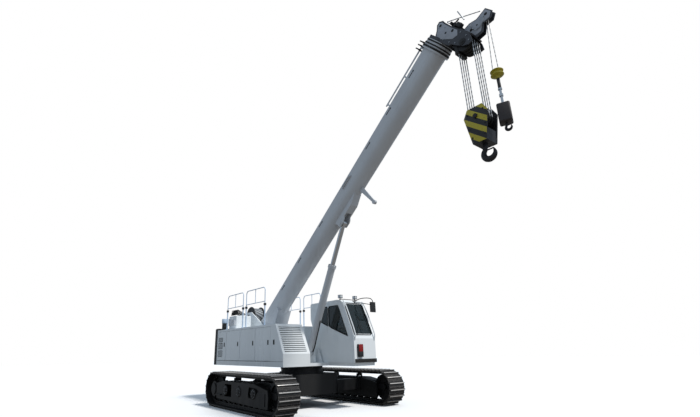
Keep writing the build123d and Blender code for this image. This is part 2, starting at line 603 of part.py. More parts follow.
with BuildPart() as cab:
    slab(CAB_OUTLINE, *cab_y)
    slab(CAB_INSIDE, cab_y[0] + CAB_WALL, cab_y[1] - CAB_WALL, Mode.SUBTRACT)
    for window in WINDOWS:
        slab(window, *right_wall, Mode.SUBTRACT)
    # doorway and the window ahead of it in the left wall
    block(DOOR_X, left_wall, DOOR_Z, Mode.SUBTRACT)
    slab(LEFT_WINDOW, *left_wall, Mode.SUBTRACT)
    # windscreen opening
    with BuildSketch(screen_plane) as screen_mouth:
        with Locations((0, screen_length / 2)):
            RectangleRounded(screen_width, screen_length - 60, 60)
    extrude(screen_mouth.sketch, amount=60, both=True, mode=Mode.SUBTRACT)
    # roof window and rear window
    block((950, 1550), (cab_y[0] + 180, cab_y[1] - 180), (3540, 3640), Mode.SUBTRACT)
    block((0, 140), (cab_y[0] + 150, cab_y[1] - 150), (3080, 3480), Mode.SUBTRACT)
    # bumper bar at the foot of the front
    block((CAB_FRONT, CAB_FRONT + 20), (cab_y[0] + 20, cab_y[1] - 20), (CAB_FLOOR + 20, CAB_FLOOR + 120))
    # hinge brackets and pins of the door
    for z in CAB_HINGES:
        for low in (z - 18, z + 76):
            spindle(*CAB_HINGE, 11, low, low + 12)
            block((CAB_HINGE[0] - 11, CAB_HINGE[0] + 8), (cab_y[1] - 5, CAB_HINGE[1]), (low, low + 12))
        spindle(*CAB_HINGE, 6, z - 18, z + 88)
save(cab, "cab_shell")

with BuildPart() as glass:
    for window in WINDOWS:
        pane(window, cab_y[0] + 12)
    pane(LEFT_WINDOW, cab_y[1] - 12 - GLASS)
    with BuildSketch(screen_plane.offset(-10)) as screen:
        with Locations((0, screen_length / 2)):
            RectangleRounded(screen_width - 2 * GLASS_GAP, screen_length - 60 - 2 * GLASS_GAP,
                             60 - GLASS_GAP)
    extrude(screen.sketch, amount=-GLASS)
    block((950 + GLASS_GAP, 1550 - GLASS_GAP), (cab_y[0] + 180 + GLASS_GAP, cab_y[1] - 180 - GLASS_GAP),
          (3590, 3590 + GLASS))
    block((75, 75 + GLASS), (cab_y[0] + 150 + GLASS_GAP, cab_y[1] - 150 - GLASS_GAP),
          (3080 + GLASS_GAP, 3480 - GLASS_GAP))
save(glass, "cab_glass")

door_window = [(DOOR_X[0] + 90, 2330), (DOOR_X[0] + 90, 3360), (DOOR_X[1] - 90, 3360), (DOOR_X[1] - 90, 2330)]
DOOR_SKIN = 35.0
with BuildPart() as cab_door:
    block((DOOR_X[0] - 25, DOOR_X[1] + 25), (cab_y[1] + SEAT_GAP, cab_y[1] + DOOR_SKIN),
          (DOOR_Z[0] - 25, DOOR_Z[1] + 25))
    slab(door_window, cab_y[1], cab_y[1] + DOOR_SKIN, Mode.SUBTRACT)
    fillet(cab_door.edges().filter_by(Axis.Y), 30)
    for z in CAB_HINGES:
        spindle(*CAB_HINGE, 12, z, z + 70)
        block((CAB_HINGE[0], DOOR_X[0] - 20), (CAB_HINGE[1] - 10, CAB_HINGE[1] + 10), (z, z + 70))
        spindle(*CAB_HINGE, 6 + PIN_FIT, z, z + 70, Mode.SUBTRACT)
    # grab handle near the front edge
    block((DOOR_X[1] - 60, DOOR_X[1] - 30), (cab_y[1] + DOOR_SKIN, cab_y[1] + DOOR_SKIN + 30), (2060, 2260))
save(cab_door, "cab_door")

with BuildPart() as door_glass:
    pane(door_window, cab_y[1] + 12)
    fillet(door_glass.edges().filter_by(Axis.Y), 30)
save(door_glass, "cab_door_glass")

SEAT_X = 950.0
SEAT_Y = (cab_y[0] + cab_y[1]) / 2
floor_z = CAB_FLOOR + 45 + SEAT_GAP
with BuildPart() as seat:
    block((SEAT_X - 180, SEAT_X + 180), (SEAT_Y - 170, SEAT_Y + 170), (floor_z, 1830))
    block((SEAT_X - 260, SEAT_X + 260), (SEAT_Y - 240, SEAT_Y + 240), (1830, 1960))
    slab([(SEAT_X - 260, 1960), (SEAT_X - 130, 1960), (SEAT_X - 260, 2620), (SEAT_X - 380, 2620)],
         SEAT_Y - 220, SEAT_Y + 220)
    slab([(SEAT_X - 265, 2620), (SEAT_X - 365, 2620), (SEAT_X - 400, 2820), (SEAT_X - 300, 2820)],
         SEAT_Y - 130, SEAT_Y + 130)
save(seat, "cab_seat")

with BuildPart() as console:
    # control stands each side of the seat and the instrument panel ahead of it
    for side in (1, -1):
        block((SEAT_X - 150, SEAT_X + 330), (SEAT_Y + side * 260, SEAT_Y + side * 390), (floor_z, 2130))
        spindle(SEAT_X + 260, SEAT_Y + side * 325, 14, 2130, 2290)
        spindle(SEAT_X + 260, SEAT_Y + side * 325, 28, 2290, 2350)
    slab([(1950, floor_z), (2200, floor_z), (2250, 2250), (2080, 2330)], SEAT_Y - 330, SEAT_Y + 60)
save(console, "cab_controls")

# ---------------------------------------------------------------- winches

for name, place, rim, core, half in (("main", WINCH, 400, 300, 255), ("aux", AUX_WINCH, 330, 240, 255)):
    with BuildPart() as drum:
        x, z = place
        for side in (1, -1):
            axle(x, z, rim, side * (half - 25), side * half)
        # layers of rope between the rims
        axle(x, z, core, -half + 25, half - 25)
        axle(x, z, WINCH_AXLE + 40, -TOWER_INNER + RUN_GAP, TOWER_INNER - RUN_GAP)
        axle(x, z, WINCH_AXLE, -tower_outer, tower_outer)
    save(drum, f"winch_{name}")

# ---------------------------------------------------------------- boom


def boom_profile(s, inset):
    """Return the boom's cross section at s, the outer one moved inwards by the inset."""
    half = BOOM_HALF - inset
    top = BOOM_TOP - inset
    corner = max(45 - inset, 8)
    with BuildSketch(boom_cut(s)) as profile:
        with Locations((0, (top + BELLY_AXIS) / 2)):
            Rectangle(2 * half, top - BELLY_AXIS)
        fillet(profile.vertices().group_by(Axis.Y)[-1], corner)
        with Locations((0, BELLY_AXIS)):
            Circle(half)
    return profile.sketch


section_step = BOOM_WALL + PAD_GAP
COLLAR = -60.0          # a collar stands out from the base section by this much
# collars of the telescoping sections at the boom's mouth: name, rear and front edge
SECTIONS = [("second", 12276.0, 12370.0), ("third", 12376.0, 12462.0)]
HEAD_REAR = 12468.0
TELESCOPE_TAIL = 1200.0
PAD_LENGTH = 260.0

TOP_HOOKS = [(2120.0, 120.0), (5410.0, 120.0)]   # s and length of the hooks on the top plate

with BuildPart() as boom_pin:
    axle(foot_x, foot_z, FOOT_PIN, -tower_outer - 12, tower_outer + 12)
save(boom_pin, "boom_foot_pin")

EYE_HALF = 85.0
LUG_GAP = 35.0
LUG_PLATE = 40.0
lug_in, lug_out = EYE_HALF + LUG_GAP, EYE_HALF + LUG_GAP + LUG_PLATE
belly_n = BELLY_AXIS - BOOM_HALF
with BuildPart() as boom_base:
    # foot lugs under the tail
    boom_slab([(FOOT_S - 330, -150), (FOOT_S - 130, FOOT_N - 60), (FOOT_S, FOOT_N - 130),
               (FOOT_S + 130, FOOT_N - 50), (FOOT_S + 900, -330), (FOOT_S + 900, -150)],
              -TOWER_INNER + RUN_GAP, TOWER_INNER - RUN_GAP)
    boom_slab([(FOOT_S - 260, belly_n - 40), (FOOT_S + 60, FOOT_N + 140), (FOOT_S + 560, belly_n - 60),
               (FOOT_S + 560, belly_n - 10), (FOOT_S - 260, belly_n - 10)],
              -TOWER_INNER + 70, TOWER_INNER - 70, Mode.SUBTRACT)
    axle(foot_x, foot_z, FOOT_PIN + 70, -TOWER_INNER + RUN_GAP, TOWER_INNER - RUN_GAP)
    extrude(boom_profile(BOOM_TAIL, 0), amount=BOOM_MOUTH - BOOM_TAIL)
    # collar round the mouth
    extrude(boom_profile(BOOM_MOUTH - 110, COLLAR), amount=110)
    # lugs for the cylinder's rod, faired into the belly ahead of the pin
    for side in (1, -1):
        boom_slab([(5790, belly_n + 120), (5850, EYE_N - 60), (5900, EYE_N - 100), (6110, EYE_N - 100),
                   (6200, EYE_N - 50), (6260, -520), (6750, -520), (7150, belly_n + 15),
                   (7150, belly_n + 120)], side * lug_in, side * lug_out)
    axle(eye_x, eye_z, RAM_PIN, -lug_out - 15, lug_out + 15)
    boom_slab([(6400, -520), (6750, -520), (7150, belly_n + 15), (7150, belly_n + 120),
               (6400, belly_n + 120)], -lug_in, lug_in)
    extrude(boom_profile(BOOM_TAIL + BOOM_WALL, BOOM_WALL), amount=BOOM_MOUTH - BOOM_TAIL,
            mode=Mode.SUBTRACT)
    axle(foot_x, foot_z, FOOT_PIN + PIN_FIT, -TOWER_INNER, TOWER_INNER, Mode.SUBTRACT)
    # bracket on the top plate at the tail, hooks along it and the lamp arm below
    for s, length in TOP_HOOKS:
        boom_slab([(s, BOOM_TOP - 5), (s, BOOM_TOP + 36), (s + length, BOOM_TOP + 36),
                   (s + length, BOOM_TOP - 5)], -40, 40)
    boom_slab([(7300, belly_n + 5), (7380, -1240), (7470, -1240), (7470, belly_n + 5)], -20, 20)
    axle(*boom_xz(7425, -1260), 70, -45, 45)
    boom_slab([(6980, 110), (6980, 170), (7550, 170), (7550, 110)], -BOOM_HALF - 60, -BOOM_HALF + 5)
    boom_slab([(7040, 122), (7040, 158), (7490, 158), (7490, 122)], -BOOM_HALF - 60, -BOOM_HALF - 1,
              Mode.SUBTRACT)
save(boom_base, "boom_base")

for number, (name, collar_rear, collar_front) in enumerate(SECTIONS, start=1):
    inset = number * section_step
    with BuildPart() as section:
        tail = TELESCOPE_TAIL + 60 * number
        extrude(boom_profile(tail, inset), amount=collar_front - tail)
        # wear pads round the tail
        extrude(boom_profile(tail, inset - PAD_GAP + SEAT_GAP), amount=PAD_LENGTH)
        extrude(boom_profile(collar_rear, COLLAR + 12 * number), amount=collar_front - collar_rear)
        extrude(boom_profile(tail, inset + BOOM_WALL), amount=collar_front - tail, mode=Mode.SUBTRACT)
    save(section, f"boom_{name}")

# head plate outline, s along the boom and n square to it
HEAD_OUTLINE = [(HEAD_REAR, 40), (12690, 150), (12840, 275), (12945, 275), (13010, 150), (12985, 30),
                (12960, -300), (12960, -780), (12975, -960), (12920, -1150), (12820, -1330),
                (12700, -1270), (12610, -1130), (12560, -900), (12530, -680), (HEAD_REAR, -620)]
HEAD_CHEEK = (270.0, 300.0)
HEAD_SHEAVES = 4
JIB_PIN, JIB_BORE = (12880.0, 185.0), 25.0
SHEAVE_WIDTH = 70.0
head_x, head_z = LIFT_X, 9945.0
RUNNER = (AUX_X - 105 - FALL_RADIUS - SEAT_GAP, 10435.0)
RUNNER_RADIUS = 105.0
RUNNER_HALF = 60.0
tip_inset = 3 * section_step
with BuildPart() as boom_tip:
    tail = TELESCOPE_TAIL + 180
    extrude(boom_profile(tail, tip_inset), amount=HEAD_REAR + 90 - tail)
    extrude(boom_profile(tail, tip_inset - PAD_GAP + SEAT_GAP), amount=PAD_LENGTH)
    extrude(boom_profile(HEAD_REAR, COLLAR + 36), amount=90)
    extrude(boom_profile(tail, tip_inset + BOOM_WALL), amount=HEAD_REAR + 90 - tail, mode=Mode.SUBTRACT)
    for side in (1, -1):
        boom_slab(HEAD_OUTLINE, side * HEAD_CHEEK[0], side * HEAD_CHEEK[1])
    # plates across the head between the cheeks
    boom_slab([(HEAD_REAR + 60, -620), (HEAD_REAR + 60, 60), (HEAD_REAR + 90, 80), (HEAD_REAR + 90, -600)],
              -HEAD_CHEEK[0], HEAD_CHEEK[0])
    boom_slab([(12690, 150), (12840, 275), (12945, 275), (12945, 240), (12850, 240), (12700, 115)],
              -HEAD_CHEEK[0], HEAD_CHEEK[0])
    boom_slab([(12940, -760), (12960, -760), (12960, -300), (12985, 30), (12965, 30), (12940, -300)],
              -HEAD_CHEEK[0], HEAD_CHEEK[0])
    axle(head_x, head_z, 50, -HEAD_CHEEK[0], HEAD_CHEEK[0])
    # bores in the cheeks for the pin of a jib
    axle(*boom_xz(*JIB_PIN), JIB_BORE, -HEAD_CHEEK[1], HEAD_CHEEK[1], Mode.SUBTRACT)
    # arm that carries the auxiliary sheave ahead of the head
    for side in (1, -1):
        boom_slab([(12950, -560), (13210, -640), (13370, -790), (13690, -850), (13690, -1130),
                   (13520, -1220), (13340, -1120), (13140, -1270), (12950, -1180)],
                  side * RUNNER_HALF, side * (RUNNER_HALF + 25))
    boom_slab([(12945, -1100), (12945, -640), (12985, -640), (12985, -1100)], -HEAD_CHEEK[0], HEAD_CHEEK[0])
    axle(RUNNER[0], RUNNER[1], 32, -RUNNER_HALF - 25, RUNNER_HALF + 25)
save(boom_tip, "boom_tip")


def sheave(x, z, radius, y, bore):
    """Add a grooved rope sheave centred at y."""
    half = SHEAVE_WIDTH / 2
    with BuildSketch(Plane.XY) as section:
        with BuildLine():
            Polyline((bore, -half), (radius + 25, -half), (radius + 25, -half + 10), (radius, -half + 26),
                     (radius, half - 26), (radius + 25, half - 10), (radius + 25, half), (bore, half),
                     close=True)
        make_face()
    return Pos(x, y, z) * revolve(section.sketch, Axis.Y, 360, mode=Mode.PRIVATE)


head_sheave_y = [(i - (HEAD_SHEAVES - 1) / 2) * (SHEAVE_WIDTH + 45) for i in range(HEAD_SHEAVES)]
with BuildPart() as sheaves:
    add([sheave(head_x, head_z, SHEAVE_RADIUS, y, 50 + SEAT_GAP) for y in head_sheave_y])
save(sheaves, "head_sheaves")

with BuildPart() as runner_sheave:
    add(sheave(RUNNER[0], RUNNER[1], RUNNER_RADIUS, 0, 32 + SEAT_GAP))
save(runner_sheave, "runner_sheave")

# ---------------------------------------------------------------- derricking cylinder

ram_angle = degrees(atan2(eye_z - ram_z, eye_x - ram_x))
ram_axis = Plane(origin=(ram_x, 0, ram_z), x_dir=(0, 1, 0),
                 z_dir=(cos(radians(ram_angle)), 0, sin(radians(ram_angle))))


def ram_length_at(low, high, radius, mode=Mode.ADD):
    """Add a cylinder along the derricking cylinder's axis, from its foot pin."""
    with BuildSketch(ram_axis.offset(low)) as disc:
        Circle(radius)
    extrude(disc.sketch, amount=high - low, mode=mode)


EYE_RADIUS = 105.0
BORE_START = 150.0
GLAND = 140.0
ROD_END = 1560.0        # inner end of the rod, from the foot pin
with BuildPart() as ram_pin:
    # one stub in each cheek of the clevis, clear of the eye between them
    for side in (1, -1):
        axle(ram_x, ram_z, RAM_PIN, side * (EYE_HALF + RUN_GAP), side * (RAM_RADIUS + 65))
save(ram_pin, "cylinder_foot_pin")

with BuildPart() as barrel:
    axle(ram_x, ram_z, EYE_RADIUS, -EYE_HALF, EYE_HALF)
    ram_length_at(60, 230, EYE_HALF)
    ram_length_at(BORE_START - 25, RAM_BARREL, RAM_RADIUS)
    ram_length_at(RAM_BARREL - 110, RAM_BARREL, RAM_RADIUS + 20)
    ram_length_at(BORE_START, RAM_BARREL - GLAND, RAM_BORE, Mode.SUBTRACT)
    ram_length_at(RAM_BARREL - GLAND - 5, RAM_BARREL + 10, ROD_RADIUS + PIN_FIT, Mode.SUBTRACT)
    axle(ram_x, ram_z, RAM_PIN + PIN_FIT, -EYE_HALF, EYE_HALF, Mode.SUBTRACT)
save(barrel, "cylinder_barrel")

with BuildPart() as piston:
    ram_length_at(ROD_END - SEAT_GAP - 50, ROD_END - SEAT_GAP, RAM_BORE - SEAT_GAP)
save(piston, "cylinder_piston")

with BuildPart() as rod:
    ram_length_at(ROD_END, ram_length - 60, ROD_RADIUS)
    axle(eye_x, eye_z, EYE_RADIUS, -EYE_HALF, EYE_HALF)
    axle(eye_x, eye_z, RAM_PIN + PIN_FIT, -EYE_HALF, EYE_HALF, Mode.SUBTRACT)
save(rod, "cylinder_rod")

# ---------------------------------------------------------------- hook blocks

BLOCK_PIN = (LIFT_X, 7580.0)
FALL_OUT = SHEAVE_RADIUS + FALL_RADIUS + SEAT_GAP
with BuildPart() as falls:
    for y in head_sheave_y:
        for side in (1, -1):
            spindle(LIFT_X + side * FALL_OUT, y, FALL_RADIUS, BLOCK_PIN[1], head_z)
save(falls, "main_falls")

# cheek outline of the main block, X from its middle then Z
BLOCK_OUTLINE = [(-215, BLOCK_TOP), (215, BLOCK_TOP), (335, 7625), (190, BLOCK_LOW), (-190, BLOCK_LOW),
                 (-335, 7625)]
block_points = [(LIFT_X + x, z) for x, z in BLOCK_OUTLINE]
CHEEK_HALF = 250.0
with BuildPart() as main_block:
    for side in (1, -1):
        slab(block_points, side * (CHEEK_HALF - 40), side * CHEEK_HALF)
    slab([(LIFT_X - 235, 7160), (LIFT_X + 235, 7160), (LIFT_X + 190, BLOCK_LOW), (LIFT_X - 190, BLOCK_LOW)],
         -CHEEK_HALF, CHEEK_HALF)
    axle(*BLOCK_PIN, 45, -CHEEK_HALF - 20, CHEEK_HALF + 20)
    # distance bars above the sheaves
    for x in (-180, 180):
        axle(LIFT_X + x, BLOCK_TOP - 30, 15, -CHEEK_HALF, CHEEK_HALF)
    spindle(LIFT_X, 0, 45 + PIN_FIT, BLOCK_LOW - 10, BLOCK_LOW + 200, Mode.SUBTRACT)
save(main_block, "main_block")

with BuildPart() as block_sheaves:
    add([sheave(*BLOCK_PIN, SHEAVE_RADIUS, y, 45 + SEAT_GAP) for y in head_sheave_y])
save(block_sheaves, "block_sheaves")


def hook(x, z_top, shank, z_shank, scale, bar_half):
    """Add a single hook that hangs from z_top, its shank running up to z_shank."""
    spindle(x, 0, shank, z_top - 60 * scale, z_shank)
    with BuildLine(Plane.XZ) as bend:
        Polyline((x, z_top - 40 * scale), (x, z_top - 130 * scale))
        ThreePointArc((x, z_top - 130 * scale), (x + 195 * scale, z_top - 480 * scale),
                      (x + 380 * scale, z_top - 250 * scale))
    with BuildSketch(Plane.XY.offset(z_top - 40 * scale)) as bar:
        with Locations((x, 0)):
            Ellipse(*bar_half)
    sweep(bar.sketch, path=bend.line, transition=Transition.ROUND)


with BuildPart() as main_hook:
    hook(LIFT_X, 6790, 45, BLOCK_LOW + 190, 0.72, (60, 48))
    spindle(LIFT_X, 0, 80, BLOCK_LOW - 45, BLOCK_LOW - 6)
save(main_hook, "main_hook")

with BuildPart() as aux_line:
    spindle(AUX_X, 0, FALL_RADIUS, 8725, RUNNER[1])
save(aux_line, "aux_line")

# turned outline of the auxiliary weight and swivel, radius then Z
SAUCER = [(0, 8440), (60, 8440), (165, 8560), (165, 8620), (60, 8725), (FALL_RADIUS + SEAT_GAP, 8725),
          (FALL_RADIUS + SEAT_GAP, 8680), (0, 8680)]
AUX_WEIGHT = [(0, 7170), (110, 7170), (200, 7300), (205, 7420), (180, 7600), (80, 7780), (0, 7780)]
with BuildPart() as aux_block:
    for outline in (SAUCER, AUX_WEIGHT):
        with BuildSketch(Plane.XZ) as half_section:
            Polygon(*outline, align=None)
        add(Pos(AUX_X, 0, 0) * revolve(half_section.sketch, Axis.Z, 360, mode=Mode.PRIVATE))
    spindle(AUX_X, 0, 26, 7770, 8450)
    spindle(AUX_X, 0, 30 + PIN_FIT, 7160, 7260, Mode.SUBTRACT)
save(aux_block, "aux_block")

with BuildPart() as aux_hook:
    hook(AUX_X, 7150, 30, 7250, 0.42, (22, 17.6))
    spindle(AUX_X, 0, 50, 7145, 7164)
save(aux_hook, "aux_hook")

# ---------------------------------------------------------------- lamps and mirror


def tube_between(start, end, radius):
    """Add a round bar between two places."""
    run = Vector(*end) - Vector(*start)
    with BuildSketch(Plane(origin=start, z_dir=run.normalized())) as bar:
        Circle(radius)
    extrude(bar.sketch, amount=run.length)


with BuildPart() as lamps:
    # twin headlamp on the front of the cab
    block((CAB_FRONT + SEAT_GAP, CAB_FRONT + 60), (540, 770), (1640, 2050))
    fillet(lamps.edges().filter_by(Axis.X), 25)
    for z in (1745, 1945):
        with BuildSketch(Plane.YZ.offset(CAB_FRONT + 50)) as lens:
            with Locations((655, z)):
                Circle(78)
        extrude(lens.sketch, amount=22)
    # two work lamps on the roof
    for y in (620, 1340):
        block((1580, 1660), (y - 30, y + 30), (3612 + SEAT_GAP, 3625))
        spindle(1620, y, 14, 3615, 3700)
        block((1575, 1690), (y - 65, y + 65), (3690, 3810))
save(lamps, "lamps")

with BuildPart() as mirror:
    slab([(1965.2, 3507.5), (1974, 3519.6), (1869, 3595.2), (1860.2, 3583.1)], 1005, 1055)
    tube_between((1922, 1030, 3556), (2450, 1280, 3420), 12)
    tube_between((2450, 1280, 3420), (2450, 1400, 3420), 12)
    block((2435, 2475), (1320, 1570), (3150, 3510))
    fillet(mirror.edges().filter_by(Axis.X).filter_by(lambda e: e.length < 60), 14)
save(mirror, "mirror")
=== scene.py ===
"""Telescopic crawler crane: its looks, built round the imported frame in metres."""
import logging
import math
from collections.abc import Callable, Iterable, Sequence
from dataclasses import dataclass
from enum import Enum

import bpy
from mathutils import Matrix, Vector


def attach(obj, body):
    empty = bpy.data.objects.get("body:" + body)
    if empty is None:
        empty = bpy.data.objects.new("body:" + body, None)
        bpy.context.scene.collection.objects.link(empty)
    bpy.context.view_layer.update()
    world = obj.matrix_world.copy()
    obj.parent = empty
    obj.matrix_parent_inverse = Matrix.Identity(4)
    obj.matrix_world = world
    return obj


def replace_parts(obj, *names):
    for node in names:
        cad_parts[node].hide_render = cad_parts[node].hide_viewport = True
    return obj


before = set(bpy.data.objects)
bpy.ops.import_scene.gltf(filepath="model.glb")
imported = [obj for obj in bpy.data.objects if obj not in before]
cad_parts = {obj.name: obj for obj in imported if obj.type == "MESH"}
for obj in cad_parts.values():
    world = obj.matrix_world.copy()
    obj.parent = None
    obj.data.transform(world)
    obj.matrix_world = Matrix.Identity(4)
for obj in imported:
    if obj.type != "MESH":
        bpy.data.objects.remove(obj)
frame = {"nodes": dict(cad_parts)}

LOG = logging.getLogger("crane")

Point = tuple[float, float, float]
FaceTest = Callable[[Vector, Vector], bool]


class Body(Enum):
    """The moving bodies that pieces ride on."""

    UNDERCARRIAGE = "undercarriage"
    UPPER = "upper"
    REAR_DOOR = "rear_door"
    COOLER_DOOR = "cooler_door"
    PUMP_DOOR = "pump_door"
    ENGINE_DOOR = "engine_door"
    CAB_DOOR = "cab_entry_door"
    MAIN_WINCH = "main_winch"
    AUX_WINCH = "aux_winch"
    BOOM = "boom"
    SECOND = "second_section"
    THIRD = "third_section"
    TIP = "tip_section"
    BARREL = "cylinder_barrel"
    MAIN_BLOCK = "main_hook_block"
    MAIN_HOOK = "main_hook"
    AUX_LINE = "aux_hook_line"
    AUX_HOOK = "aux_hook"


# ---------------------------------------------------------------- finishes


def linear(colour: str) -> tuple[float, float, float, float]:
    """Turn an sRGB hex colour into linear RGBA.

    Args:
        colour: The colour as "#rrggbb".

    Returns:
        The linear red, green, blue and an alpha of 1.
    """
    channels = [int(colour[i:i + 2], 16) / 255 for i in (1, 3, 5)]
    red, green, blue = (c / 12.92 if c <= 0.04045 else ((c + 0.055) / 1.055) ** 2.4 for c in channels)
    return red, green, blue, 1.0


def add_node(tree: bpy.types.NodeTree, kind: str, values: dict | None = None, **settings) -> bpy.types.Node:
    """Add a node with its settings, its input values and its links.

    Args:
        tree: The node tree that takes the node.
        kind: The node's type name.
        values: Input name or number to a value, or to an output socket to link from.
        **settings: Attributes of the node.

    Returns:
        The new node.
    """
    node = tree.nodes.new(kind)
    for name, setting in settings.items():
        setattr(node, name, setting)
    for name, value in (values or {}).items():
        if isinstance(value, bpy.types.NodeSocket):
            tree.links.new(value, node.inputs[name])
        else:
            node.inputs[name].default_value = value
    return node


@dataclass(frozen=True)
class Finish:
    """A surface finish with a base colour, a second colour in patches and a fine grain.

    Attributes:
        name: The material's name.
        colour: The main colour, sRGB hex.
        second: The colour of dust, rust or wear, sRGB hex.
        share: How much of the second colour shows, 0 to 1.
        patch_mm: Size of the patches.
        grain_mm: Size of the surface grain.
        grain: Height of the grain's bump in millimetres.
        roughness: Roughness of the clean surface.
        metallic: Metallic share.
        coat: Weight of a clear coat.
        streaks: True where the patches run down the surface.
    """

    name: str
    colour: str
    second: str
    share: float = 0.25
    patch_mm: float = 600.0
    grain_mm: float = 14.0
    grain: float = 0.3
    roughness: float = 0.4
    metallic: float = 0.0
    coat: float = 0.0
    streaks: bool = False

    def build(self) -> bpy.types.Material:
        """Return the material."""
        material = bpy.data.materials.new(self.name)
        material.use_nodes = True
        tree = material.node_tree
        shader = tree.nodes["Principled BSDF"]
        place = add_node(tree, "ShaderNodeTexCoord").outputs["Object"]
        stretched = add_node(tree, "ShaderNodeMapping", {
            "Vector": place, "Scale": (1.0, 1.0, 0.22 if self.streaks else 1.0)}).outputs["Vector"]
        patches = add_node(tree, "ShaderNodeTexNoise", {
            "Vector": stretched, "Scale": 1000 / self.patch_mm, "Detail": 6.0, "Roughness": 0.62})
        spread = add_node(tree, "ShaderNodeMapRange", {
            "Value": patches.outputs["Fac"], "From Min": 0.5 - 0.22 * self.share, "From Max": 0.95,
            "To Min": 0.0, "To Max": min(1.0, self.share * 1.6)})
        colour = add_node(tree, "ShaderNodeMix", {
            "Factor": spread.outputs["Result"], "A": linear(self.colour), "B": linear(self.second)},
            data_type="RGBA")
        grain = add_node(tree, "ShaderNodeTexNoise", {
            "Vector": place, "Scale": 1000 / self.grain_mm, "Detail": 3.0})
        gloss = add_node(tree, "ShaderNodeMapRange", {
            "Value": patches.outputs["Fac"], "From Min": 0.3, "From Max": 0.8,
            "To Min": max(0.03, self.roughness * 0.8), "To Max": min(1.0, self.roughness * 1.35)})
        bump = add_node(tree, "ShaderNodeBump", {
            "Height": grain.outputs["Fac"], "Strength": 0.5, "Distance": self.grain / 1000})
        tree.links.new(colour.outputs["Result"], shader.inputs["Base Color"])
        tree.links.new(gloss.outputs["Result"], shader.inputs["Roughness"])
        tree.links.new(bump.outputs["Normal"], shader.inputs["Normal"])
        shader.inputs["Metallic"].default_value = self.metallic
        shader.inputs["Coat Weight"].default_value = self.coat
        shader.inputs["Coat Roughness"].default_value = 0.08
        return material


@dataclass(frozen=True)
class WornSteel:
    """Cast or forged steel whose edges are rubbed bright and whose hollows keep dirt."""

    name: str
    colour: str = "#2b2927"
    worn: str = "#8f8a84"
    dirt: str = "#4a4038"
    edge_mm: float = 14.0
    roughness: float = 0.55

    def build(self) -> bpy.types.Material:
        """Return the material."""
        material = bpy.data.materials.new(self.name)
        material.use_nodes = True
        tree = material.node_tree
        shader = tree.nodes["Principled BSDF"]
        place = add_node(tree, "ShaderNodeTexCoord").outputs["Object"]
        facing = add_node(tree, "ShaderNodeNewGeometry").outputs["Normal"]
        rounded = add_node(tree, "ShaderNodeBevel", {"Radius": self.edge_mm / 1000}, samples=4)
        match = add_node(tree, "ShaderNodeVectorMath", {0: rounded.outputs["Normal"], 1: facing},
                         operation="DOT_PRODUCT")
        rub = add_node(tree, "ShaderNodeTexNoise", {"Vector": place, "Scale": 22.0, "Detail": 5.0})
        edge = add_node(tree, "ShaderNodeMapRange", {
            "Value": match.outputs["Value"], "From Min": 0.995, "From Max": 0.80,
            "To Min": 0.0, "To Max": 1.0})
        mask = add_node(tree, "ShaderNodeMath", {0: edge.outputs["Result"], 1: rub.outputs["Fac"]},
                        operation="MULTIPLY", use_clamp=True)
        mud = add_node(tree, "ShaderNodeTexNoise", {"Vector": place, "Scale": 3.5, "Detail": 8.0})
        mud_share = add_node(tree, "ShaderNodeMapRange", {
            "Value": mud.outputs["Fac"], "From Min": 0.48, "From Max": 0.72, "To Min": 0.0, "To Max": 0.7})
        ground = add_node(tree, "ShaderNodeMix", {
            "Factor": mud_share.outputs["Result"], "A": linear(self.colour), "B": linear(self.dirt)},
            data_type="RGBA")
        colour = add_node(tree, "ShaderNodeMix", {
            "Factor": mask.outputs["Value"], "A": ground.outputs["Result"], "B": linear(self.worn)},
            data_type="RGBA")
        bump = add_node(tree, "ShaderNodeBump", {
            "Height": rub.outputs["Fac"], "Strength": 0.6, "Distance": 0.0015})
        tree.links.new(colour.outputs["Result"], shader.inputs["Base Color"])
        tree.links.new(mask.outputs["Value"], shader.inputs["Metallic"])
        tree.links.new(bump.outputs["Normal"], shader.inputs["Normal"])
        shader.inputs["Roughness"].default_value = self.roughness
        return material


